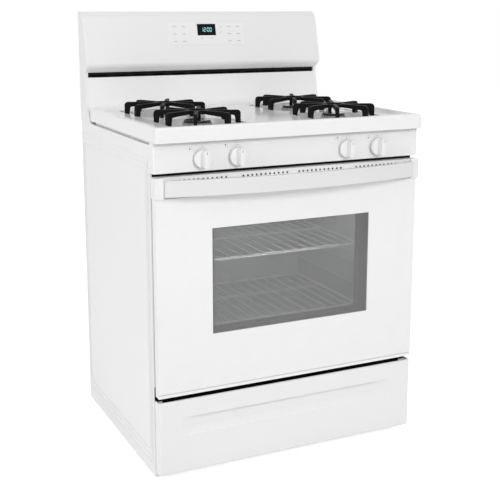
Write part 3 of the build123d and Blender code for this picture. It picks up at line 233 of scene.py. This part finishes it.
# Polyester membrane film, white and slightly satin, brighter than the enamel round it.
key_film = grained("white_membrane_film", ("#f4f4f4", "#f1f1f1"), (0.3, 0.36), 4, 0.01)
# Smoked display lens: nearly black and very smooth.
display_lens = grained(
    "smoked_display_lens", ("#0b1011", "#07090a"), (0.06, 0.1), 20, 0.0, Specular_IOR_Level=0.12
)
# Solder-masked board: green, paler in spots where copper lies under the mask.
board_green = celled("solder_masked_board", ("#2f6b45", "#1f5134"), (0.35, 0.5), 5, (0.1, 0.3))
# Screen-printed ink on the panels: mid grey and flat.
grey_ink = grained("grey_printing_ink", ("#9a9a9a", "#8c8c8c"), (0.5, 0.6), 2, 0.0)
# Lit segments of the clock: pale blue, with a light of their own.
lit_segment = grained(
    "lit_segment",
    ("#a9e4f2", "#9bdcec"),
    (0.4, 0.5),
    5,
    0.0,
    Emission_Color=linear("#a9e4f2"),
    Emission_Strength=0.9,
)
# The oven lamp's opal envelope: warm white, with a faint glow.
lamp_glow = grained(
    "lit_lamp_glass",
    ("#f4efe4", "#eae4d6"),
    (0.2, 0.3),
    8,
    0.0,
    Emission_Color=linear("#fff6e8"),
    Emission_Strength=0.4,
)

# The finish of each node that is drawn as a copy of its solid
finish_of = {
    "left_side_panel": white_enamel,
    "right_side_panel": white_enamel,
    "control_panel": white_enamel,
    "drawer_front": white_enamel,
    "backguard_console": white_enamel,
    "door_top_trim": trim_paint,
    "cooktop": cooktop_enamel,
    "backguard_end_caps": white_abs,
    "door_frame": white_powder_painted_highlight,
    "door_inner_glass": clear_glass,
    "door_liner": inner_panel_enamel,
    "oven_floor_panel": oven_enamel,
    "burner_caps": cap_enamel,
    "burner_heads": die_cast,
    "pressure_regulator": die_cast,
    "rear_panel": galvanised,
    "base_frame": galvanised,
    "drawer_box": galvanised,
    "drawer_rails": galvanised,
    "oven_flue": galvanised,
    "hinge_receivers": galvanised,
    "door_hinges": galvanised,
    "gas_manifold": iron_pipe,
    "gas_tubes": drawn_tube,
    "burner_valves": brass,
    "oven_gas_valve": brass,
    "oven_burner": zinc_steel,
    "temperature_sensor": zinc_steel,
    "oven_rack_lower": chrome_wire,
    "oven_rack_upper": chrome_wire,
    "oven_insulation": glass_wool,
    "oven_gasket": braid,
    "burner_electrodes": ceramic,
    "oven_igniter": ceramic,
    "oven_vent_trim": black_abs,
    "cord_grommet": black_abs,
    "touch_overlay": key_film,
    "clock_display": display_lens,
    "control_board": board_green,
    "oven_lamp": lamp_glow,
}
for corner in CORNERS:
    finish_of[f"knob_{corner}"] = white_abs
    finish_of[f"valve_stem_{corner}"] = zinc_steel
    finish_of[f"grate_{corner}"] = cast_iron
    finish_of[f"levelling_leg_{corner}"] = black_abs

# Rounded edges in millimetres, for the pieces whose edges catch the light
edge_round = {
    "door_top_trim": 1.2,
    "door_frame": 0.6,
    "door_glass": 0.5,
    "drawer_rails": 0.4,
    "oven_vent_trim": 0.6,
    "backguard_console": 0.5,
    **{f"grate_{corner}": 1.4 for corner in CORNERS},
    **{f"knob_{corner}": 0.5 for corner in CORNERS},
}

# How a solid's mesh is cleaned and smoothed
MERGED = 0.002 * MM  # points nearer than this become one
FLAT_ANGLE = radians(0.2)  # faces that turn less than this are joined
SHARP_ANGLE = radians(32)  # edges that turn this much or more stay sharp
ROUNDED_ANGLE = radians(40)  # edges that turn more than this are rounded
ROUNDED_STEPS = 2


def place_piece(name, mesh, material, body):
    """Puts a finished mesh in the scene as a piece of that body."""
    mesh.materials.clear()
    mesh.materials.append(material)
    piece = bpy.data.objects.new(name, mesh)
    bpy.context.scene.collection.objects.link(piece)
    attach(piece, body)
    return piece


def smooth(shape):
    """Smooth faces that break at sharp edges."""
    shape.normal_update()
    for face in shape.faces:
        face.smooth = True
    for edge in shape.edges:
        edge.smooth = edge.calc_face_angle(0) < SHARP_ANGLE


def round_edges(piece, width):
    """Rounds the sharp edges by a width in millimetres."""
    bevel = piece.modifiers.new("rounded_edges", "BEVEL")
    bevel.width = width * MM
    bevel.segments = ROUNDED_STEPS
    bevel.limit_method = "ANGLE"
    bevel.angle_limit = ROUNDED_ANGLE


def settle_shading(piece):
    """Leans the shading towards the large faces, so that flat sheets stay flat beside their folds."""
    settled = piece.modifiers.new("settled_shading", "WEIGHTED_NORMAL")
    settled.keep_sharp = True


def dress_node(node, name, finish, taken=None):
    """A merged, smooth copy of a solid, or of the faces that are taken by where their middle is."""
    mesh = nodes[node].data.copy()
    shape = bmesh.new()
    shape.from_mesh(mesh)
    bmesh.ops.remove_doubles(shape, verts=shape.verts, dist=MERGED)
    if taken is not None:
        left_out = [face for face in shape.faces if not taken(face.calc_center_median())]
        bmesh.ops.delete(shape, geom=left_out, context="FACES")
    bmesh.ops.dissolve_limit(shape, angle_limit=FLAT_ANGLE, verts=shape.verts, edges=shape.edges)
    smooth(shape)
    shape.to_mesh(mesh)
    shape.free()
    piece = place_piece(name, mesh, finish, body_of_node[node])
    if node in edge_round:
        round_edges(piece, edge_round[node])
    settle_shading(piece)
    return piece


for node, finish in finish_of.items():
    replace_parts(dress_node(node, f"{node}_dressed", finish), node)

# The oven liner is one solid in two finishes: the speckled cavity, and the black frame round its mouth,
# whose black also paints the shade in the gaps where it is seen
MOUTH = FRONT + 12.5 * MM  # y where the one gives way to the other
cavity = dress_node("oven_liner", "oven_liner_cavity", oven_enamel, lambda middle: middle.y > MOUTH)
dress_node("oven_liner", "oven_liner_frame", frame_enamel_and_gap_shade, lambda middle: middle.y <= MOUTH)
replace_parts(cavity, "oven_liner")


def add_block(shape, low, high, turn=None):
    """Adds a box to a mesh, between two corners in metres, turned by a matrix if one is given."""
    low = Vector(low)
    high = Vector(high)
    place = Matrix.Translation((low + high) / 2) @ Matrix.Diagonal((*(high - low), 1))
    bmesh.ops.create_cube(shape, size=1, matrix=place if turn is None else turn @ place)


def mesh_from(shape, name):
    """Turns a working mesh into a stored one with its faces pointing out."""
    bmesh.ops.recalc_face_normals(shape, faces=shape.faces)
    mesh = bpy.data.meshes.new(name)
    shape.to_mesh(mesh)
    shape.free()
    return mesh


# Door handle: a tall bowed band on two end posts, with its front edges rounded
handle_low, handle_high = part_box("door_handle")
HANDLE_ENDS = FRONT - 50 * MM  # y of the band's front at its two ends
HANDLE_BAND = 11 * MM  # thickness of the band
HANDLE_POST = 14 * MM  # width of each post
HANDLE_EDGE = 3 * MM  # radius of its front edges
HANDLE_EDGE_STEPS = 4
ROUND_PROFILE = 0.5
BOW_STEPS = 48


def bow_row(half, middle, end):
    """Points of a bow, an arc through its middle and its two ends, and its returns to the door."""
    rise = end - middle
    radius = (half**2 + rise**2) / (2 * rise)
    xs = [half * (2 * i / BOW_STEPS - 1) for i in range(BOW_STEPS + 1)]
    arc = [(x, middle + radius - sqrt(radius**2 - x**2)) for x in xs]
    return [(-half, handle_high.y)] + arc + [(half, handle_high.y)]


def bowed_handle():
    """The band and its posts as one closed skin between a front row and a back row."""
    shape = bmesh.new()
    rows = (
        bow_row(handle_high.x, handle_low.y, HANDLE_ENDS),
        bow_row(handle_high.x - HANDLE_POST, handle_low.y + HANDLE_BAND, HANDLE_ENDS + HANDLE_BAND),
    )
    levels = (handle_low.z, handle_high.z)
    front, back = [[[shape.verts.new((x, y, z)) for z in levels] for x, y in row] for row in rows]
    for i in range(len(front) - 1):
        for k in (0, 1):
            shape.faces.new((front[i][k], front[i + 1][k], back[i + 1][k], back[i][k]))
        for row in (front, back):
            shape.faces.new((row[i][0], row[i + 1][0], row[i + 1][1], row[i][1]))
    for i in (0, -1):
        shape.faces.new((front[i][0], back[i][0], back[i][1], front[i][1]))
    bow = front[1:-1]
    rounded = [shape.edges.get((bow[i][k], bow[i + 1][k])) for i in range(BOW_STEPS) for k in (0, 1)]
    rounded += [shape.edges.get(bow[i]) for i in (0, -1)]
    bmesh.ops.bevel(
        shape,
        geom=rounded,
        offset=HANDLE_EDGE,
        segments=HANDLE_EDGE_STEPS,
        profile=ROUND_PROFILE,
        affect="EDGES",
    )
    bmesh.ops.recalc_face_normals(shape, faces=shape.faces)
    smooth(shape)
    return mesh_from(shape, "door_handle_dressed")


handle = place_piece(
    "door_handle_dressed",
    bowed_handle(),
    shaded_handle_paint,
    body_of_node["door_handle"],
)
settle_shading(handle)
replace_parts(handle, "door_handle")

# Door glass: one pane, drawn as a white printed border and a screened window that meet edge to edge
glass_low, glass_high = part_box("door_glass")
WINDOW_HALF = 228 * MM
WINDOW_BASE = 388 * MM
WINDOW_TOP = 663 * MM
WINDOW_SET_BACK = 0.05 * MM  # behind the border's face


def pane_ring(shape, y, half, base, top):
    """Four corners of an upright rectangle."""
    return [shape.verts.new((x, y, z)) for x, z in ((-half, base), (half, base), (half, top), (-half, top))]


border = bmesh.new()
rings = [
    [
        pane_ring(border, y, glass_high.x, glass_low.z, glass_high.z),
        pane_ring(border, y, WINDOW_HALF, WINDOW_BASE, WINDOW_TOP),
    ]
    for y in (glass_low.y, glass_high.y)
]
for i in range(4):
    j = (i + 1) % 4
    for outer, inner in rings:
        border.faces.new((outer[i], outer[j], inner[j], inner[i]))
    for k in (0, 1):
        border.faces.new((rings[0][k][i], rings[0][k][j], rings[1][k][j], rings[1][k][i]))
glass_border = place_piece(
    "door_glass_border",
    mesh_from(border, "door_glass_border"),
    frit_glass,
    "oven_door",
)
round_edges(glass_border, edge_round["door_glass"])
window = bmesh.new()
add_block(
    window,
    (-WINDOW_HALF, glass_low.y + WINDOW_SET_BACK, WINDOW_BASE),
    (WINDOW_HALF, glass_high.y, WINDOW_TOP),
)
place_piece(
    "door_glass_window",
    mesh_from(window, "door_glass_window"),
    window_screen,
    "oven_door",
)
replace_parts(glass_border, "door_glass")

# Printed marks and rear screws, which node trees put on points
INK = 0.12 * MM  # how far the ink stands off the panel
MARK_SIDES = 12
WASHER_SIDES = 24
HEXAGON = 6
WASHER_SHARE = 0.35  # a washer's thickness as a share of its head's height
FRONT_TO_REAR = (pi / 2, 0, 0)  # lays an upright cylinder along y


def start_tree(name, sockets):
    """A geometry tree with these named inputs beside its points; gives the tree and its input node."""
    tree = bpy.data.node_groups.new(name, "GeometryNodeTree")
    tree.interface.new_socket("Geometry", in_out="INPUT", socket_type="NodeSocketGeometry")
    for socket, kind in sockets.items():
        tree.interface.new_socket(socket, in_out="INPUT", socket_type=f"NodeSocket{kind}")
    tree.interface.new_socket("Geometry", in_out="OUTPUT", socket_type="NodeSocketGeometry")
    return tree, add_node(tree, "NodeGroupInput")


def end_tree(tree, placed, material):
    """Makes the placed copies real, gives them their material and sends them out."""
    real = add_node(tree, "GeometryNodeRealizeInstances", links={"Geometry": placed.outputs["Instances"]})
    finished = add_node(
        tree,
        "GeometryNodeSetMaterial",
        links={"Geometry": real.outputs["Geometry"], "Material": material},
    )
    add_node(tree, "NodeGroupOutput", links={"Geometry": finished.outputs["Geometry"]})


def marks_tree():
    """Geometry nodes: a thin printed mark on each point, sized by the point's own attribute."""
    tree, given = start_tree("printed_marks", {"Turn": "Rotation", "Ink": "Material"})
    # A cylinder one across and one deep, which the point's own size scales
    unit = {"Vertices": MARK_SIDES, "Radius": 0.5, "Depth": 1.0}
    mark = add_node(tree, "GeometryNodeMeshCylinder", unit)
    size = add_node(tree, "GeometryNodeInputNamedAttribute", {"Name": "mark_size"}, data_type="FLOAT_VECTOR")
    placed = add_node(
        tree,
        "GeometryNodeInstanceOnPoints",
        links={
            "Points": given.outputs["Geometry"],
            "Instance": mark.outputs["Mesh"],
            "Rotation": given.outputs["Turn"],
            "Scale": size.outputs["Attribute"],
        },
    )
    end_tree(tree, placed, given.outputs["Ink"])
    return tree


def screws_tree():
    """Geometry nodes: a hexagon washer head on each point, facing the rear."""
    tree, given = start_tree(
        "washer_head_screws",
        {"Washer Radius": "Float", "Head Radius": "Float", "Head Height": "Float", "Metal": "Material"},
    )
    washer_height = add_node(
        tree, "ShaderNodeMath", {1: WASHER_SHARE}, {0: given.outputs["Head Height"]}, operation="MULTIPLY"
    )
    washer = add_node(
        tree,
        "GeometryNodeMeshCylinder",
        {"Vertices": WASHER_SIDES},
        {"Radius": given.outputs["Washer Radius"], "Depth": washer_height.outputs[0]},
    )
    head = add_node(
        tree,
        "GeometryNodeMeshCylinder",
        {"Vertices": HEXAGON},
        {"Radius": given.outputs["Head Radius"], "Depth": given.outputs["Head Height"]},
    )
    both = add_node(tree, "GeometryNodeJoinGeometry")
    tree.links.new(washer.outputs["Mesh"], both.inputs["Geometry"])
    tree.links.new(head.outputs["Mesh"], both.inputs["Geometry"])
    placed = add_node(
        tree,
        "GeometryNodeInstanceOnPoints",
        {"Rotation": FRONT_TO_REAR},
        {"Points": given.outputs["Geometry"], "Instance": both.outputs["Geometry"]},
    )
    end_tree(tree, placed, given.outputs["Metal"])
    return tree


def grown(name, tree, points, values, sizes=None):
    """The plain mesh that a node tree makes on these points."""
    seed = bpy.data.meshes.new(name)
    seed.from_pydata([tuple(p) for p in points], [], [])
    if sizes is not None:
        sized = seed.attributes.new("mark_size", "FLOAT_VECTOR", "POINT")
        sized.data.foreach_set("vector", [v for size in sizes for v in size])
    holder = bpy.data.objects.new(name, seed)
    bpy.context.scene.collection.objects.link(holder)
    modifier = holder.modifiers.new(name, "NODES")
    modifier.node_group = tree
    for item in tree.interface.items_tree:
        if item.in_out == "INPUT" and item.name in values:
            modifier[item.identifier] = values[item.name]
    depsgraph = bpy.context.evaluated_depsgraph_get()
    mesh = bpy.data.meshes.new_from_object(holder.evaluated_get(depsgraph))
    mesh.name = name
    holder.modifiers.clear()
    bpy.data.objects.remove(holder)
    return mesh


marks = marks_tree()


def print_marks(name, points, spans, turn):
    """Prints a mark on the range's body at each point, as wide and as high as its span."""
    sizes = [(width, height, 2 * INK) for width, height in spans]
    mesh = grown(name, marks, points, {"Turn": turn, "Ink": grey_ink}, sizes)
    place_piece(name, mesh, grey_ink, "range_body")


# Burner marks on the control panel: four dots for the burners, the knob's own one larger, and one for off
BURNER_DOTS = ((-1, -1), (-1, 1), (1, 1), (1, -1))  # right and up, in the order of the corners
DOTS_LEFT = 30 * MM  # from the knob's axis to the middle of its four dots
DOTS_UP = 27 * MM
DOTS_REACH = 2.6 * MM
OWN_DOT = 4.2 * MM
OTHER_DOT = 1.8 * MM
OFF_UP = 29 * MM
OFF_DOT = 2.2 * MM
points = []
spans = []
for own_dot, knob_x in zip(BURNER_DOTS, KNOB_XS):
    for dot in BURNER_DOTS:
        dot_x = knob_x - DOTS_LEFT + DOTS_REACH * dot[0]
        dot_z = KNOB_Z + DOTS_UP + DOTS_REACH * dot[1]
        points.append((dot_x, CONTROL_FACE, dot_z))
        spans.append((OWN_DOT, OWN_DOT) if dot == own_dot else (OTHER_DOT, OTHER_DOT))
    points.append((knob_x, CONTROL_FACE, KNOB_Z + OFF_UP))
    spans.append((OFF_DOT, OFF_DOT))
print_marks("control_panel_marks", points, spans, FRONT_TO_REAR)

# Knob pointers: a short grey line near the top of each grip
POINTER_HALF = 0.7 * MM
POINTER_BASE = 12 * MM  # above the knob's axis
POINTER_TOP = 19 * MM
POINTER_SUNK = 0.3 * MM
for corner, knob_x in zip(CORNERS, KNOB_XS):
    name = f"knob_pointer_{corner}"
    pointer = bmesh.new()
    add_block(
        pointer,
        (knob_x - POINTER_HALF, KNOB_FACE - INK, KNOB_Z + POINTER_BASE),
        (knob_x + POINTER_HALF, KNOB_FACE + POINTER_SUNK, KNOB_Z + POINTER_TOP),
    )
    place_piece(name, mesh_from(pointer, name), grey_ink, f"knob_{corner}")

# The console's sloped face runs from its lip up to its brow
CONSOLE_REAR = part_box("backguard_console")[1].y
LIP = Vector((0, CONSOLE_REAR - 79.8 * MM, 1037 * MM))
BROW = Vector((0, CONSOLE_REAR - 45.8 * MM, 1176 * MM))
FACE_MID = (LIP + BROW) / 2
SLOPE = (BROW - LIP).normalized()
OUT = Vector((0, -SLOPE.z, SLOPE.y))
console_turn = Matrix((Vector((1, 0, 0)), SLOPE, OUT)).transposed()


def on_console(x, rise, out):
    """A point by its way across, up and out from the middle of the sloped face, in millimetres."""
    return FACE_MID + (Vector((x, 0, 0)) + SLOPE * rise + OUT * out) * MM


# Touch keys: plain strokes in columns beside the display, and short ones near it
KEY_COLUMNS = (-103, -74, 74, 104)  # these and the next three are in millimetres, as on_console takes them
KEY_ROWS = (41, 19, -3)
SHORT_KEYS = [(-16, 6), (16, 6), (47, 40), (47, 24)]
FILM_FACE = 0.8
KEY_STROKE = (13 * MM, 1.4 * MM)
SHORT_STROKE = (6 * MM, 1.4 * MM)
long_keys = [(x, rise) for x in KEY_COLUMNS for rise in KEY_ROWS]
points = [on_console(x, rise, FILM_FACE) for x, rise in long_keys + SHORT_KEYS]
spans = [KEY_STROKE] * len(long_keys) + [SHORT_STROKE] * len(SHORT_KEYS)
print_marks("touch_key_marks", points, spans, console_turn.to_euler())

# Clock digits: lit bars that show twelve o'clock, in millimetres on the display
DISPLAY_RISE = 31.9
DISPLAY_FACE = 0.6
CLOCK = ((-14, "1"), (-5.5, "2"), (5.5, "0"), (14, "0"))  # each digit's middle
LIT_BARS = {"0": "abcdef", "1": "bc", "2": "abged"}
DIGIT_SIDE = 2.7
DIGIT_TOP = 6.0
UPRIGHT_MID = 3.1
LEVEL_BAR = (4.4, 1.0)
UPRIGHT_BAR = (1.0, 4.6)
BARS = {
    "a": (0, DIGIT_TOP, LEVEL_BAR),
    "b": (DIGIT_SIDE, UPRIGHT_MID, UPRIGHT_BAR),
    "c": (DIGIT_SIDE, -UPRIGHT_MID, UPRIGHT_BAR),
    "d": (0, -DIGIT_TOP, LEVEL_BAR),
    "e": (-DIGIT_SIDE, -UPRIGHT_MID, UPRIGHT_BAR),
    "f": (-DIGIT_SIDE, UPRIGHT_MID, UPRIGHT_BAR),
    "g": (0, 0, LEVEL_BAR),
}
COLON_DOT = (1.2, 1.2)
COLON_RISE = 2.2
digits = bmesh.new()
display_plane = Matrix.Translation(on_console(0, DISPLAY_RISE, DISPLAY_FACE)) @ console_turn.to_4x4()


def light_bar(x, y, size):
    """Adds one lit bar to the digits, by its middle and its width and height."""
    width, height = size
    add_block(
        digits,
        ((x - width / 2) * MM, (y - height / 2) * MM, -INK),
        ((x + width / 2) * MM, (y + height / 2) * MM, INK),
        display_plane,
    )


for middle, digit in CLOCK:
    for bar in LIT_BARS[digit]:
        x, y, size = BARS[bar]
        light_bar(middle + x, y, size)
for y in (-COLON_RISE, COLON_RISE):
    light_bar(0, y, COLON_DOT)
place_piece("clock_digits", mesh_from(digits, "clock_digits"), lit_segment, "range_body")

# Rear panel screws: a column up each side
SCREW_ROWS = 5
WASHER_R = 4.5 * MM
HEAD_R = 3.4 * MM
HEAD_HEIGHT = 4.0 * MM
screw_low, screw_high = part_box("body_screws")
screw_x = screw_high.x - WASHER_R
screw_y = screw_high.y - HEAD_HEIGHT / 2
screw_step = (screw_high.z - screw_low.z - 2 * WASHER_R) / (SCREW_ROWS - 1)
screw_zs = [screw_low.z + WASHER_R + i * screw_step for i in range(SCREW_ROWS)]
screws = place_piece(
    "rear_panel_screws",
    grown(
        "rear_panel_screws",
        screws_tree(),
        [(side * screw_x, screw_y, z) for side in (-1, 1) for z in screw_zs],
        {"Washer Radius": WASHER_R, "Head Radius": HEAD_R, "Head Height": HEAD_HEIGHT, "Metal": zinc_steel},
    ),
    zinc_steel,
    "range_body",
)
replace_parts(screws, "body_screws")


def seen_by_eye(tree):
    """One for rays by which the camera sees a surface: straight, in a gloss or through glass."""
    sight = add_node(tree, "ShaderNodeLightPath")
    seen = sight.outputs["Is Camera Ray"]
    for ray in ("Is Glossy Ray", "Is Transmission Ray"):
        links = {0: seen, 1: sight.outputs[ray]}
        seen = add_node(tree, "ShaderNodeMath", links=links, operation="MAXIMUM").outputs[0]
    return seen


# Floor: pale and matt, so that it takes the shadow, and lifted to white where it is seen
FLOOR_REACH = 9  # metres from the middle to each side
FLOOR_LIFT = 0.68
floor_corners = [(x * FLOOR_REACH, y * FLOOR_REACH, 0) for x, y in ((-1, -1), (1, -1), (1, 1), (-1, 1))]
floor_mesh = bpy.data.meshes.new("pale_floor")
floor_mesh.from_pydata(floor_corners, [], [(0, 1, 2, 3)])
floor = bpy.data.objects.new("pale_floor", floor_mesh)
bpy.context.scene.collection.objects.link(floor)
floor_material = bpy.data.materials.new("pale_studio_floor")
floor_material.use_nodes = True
tree = floor_material.node_tree
tree.nodes.clear()
matt = add_node(tree, "ShaderNodeBsdfDiffuse", {"Color": linear("#e8e8e8")})
lift = add_node(tree, "ShaderNodeMath", {1: FLOOR_LIFT}, {0: seen_by_eye(tree)}, operation="MULTIPLY")
glow = add_node(tree, "ShaderNodeEmission", {"Color": WHITE}, {"Strength": lift.outputs[0]})
lit = add_node(tree, "ShaderNodeAddShader", links={0: matt.outputs["BSDF"], 1: glow.outputs["Emission"]})
add_node(tree, "ShaderNodeOutputMaterial", links={"Surface": lit.outputs["Shader"]})
floor_mesh.materials.append(floor_material)

# World: white where it is seen, and a dimmer light on the object
WORLD_LIGHT = 0.5
WORLD_SEEN = 1.0
world = bpy.data.worlds.new("studio")
bpy.context.scene.world = world
world.use_nodes = True
tree = world.node_tree
tree.nodes.clear()
ambient = add_node(tree, "ShaderNodeBackground", {"Color": WHITE, "Strength": WORLD_LIGHT})
backdrop = add_node(tree, "ShaderNodeBackground", {"Color": WHITE, "Strength": WORLD_SEEN})
mixed = add_node(
    tree,
    "ShaderNodeMixShader",
    links={0: seen_by_eye(tree), 1: ambient.outputs["Background"], 2: backdrop.outputs["Background"]},
)
add_node(tree, "ShaderNodeOutputWorld", links={"Surface": mixed.outputs["Shader"]})

# Lamps: the place of each, what it faces, its width and height in metres, and its power in watts
for name, place, aim, size, power in (
    ("front_softbox", (0.3, -3.3, 2.2), (0, 0, 0.4), (0.9, 0.9), 43),
    ("left_softbox", (-2.8, -0.8, 1.8), (0, 0, 0.5), (1.4, 1.4), 27),
    ("top_softbox", (0.0, -0.9, 3.4), (0, 0, 0.6), (2.0, 2.0), 2),
    ("rear_softbox", (2.6, 1.9, 1.8), (0, 0, 0.6), (1.8, 1.8), 26),
    ("oven_light", (0.0, FRONT + 0.03, 0.712), (0, FRONT + 0.3, 0.35), (0.36, 0.03), 8.5),
):
    lamp = bpy.data.lights.new(name, "AREA")
    lamp.shape = "RECTANGLE"
    lamp.size, lamp.size_y = size
    lamp.energy = power
    holder = bpy.data.objects.new(name, lamp)
    holder.location = place
    holder.rotation_euler = (Vector(aim) - Vector(place)).to_track_quat("-Z", "Y").to_euler()
    holder.visible_camera = False
    holder.visible_glossy = False
    bpy.context.scene.collection.objects.link(holder)

# Camera: in front and to the left, looking a little down; angles in degrees
LOOKING_LEVEL = 90
LOOKING_DOWN = 11.13
TURNED_RIGHT = 25.26
camera_data = bpy.data.cameras.new("camera")
camera_data.sensor_width = 36
camera_data.lens = 69.59
camera_data.shift_x = 0.0026
camera_data.shift_y = -0.1
camera = bpy.data.objects.new("camera", camera_data)
camera.location = (-1.147, -2.446, 1.196)
camera.rotation_euler = (radians(LOOKING_LEVEL - LOOKING_DOWN), 0, radians(-TURNED_RIGHT))
bpy.context.scene.collection.objects.link(camera)
bpy.context.scene.camera = camera
bpy.context.scene.view_settings.view_transform = "Standard"
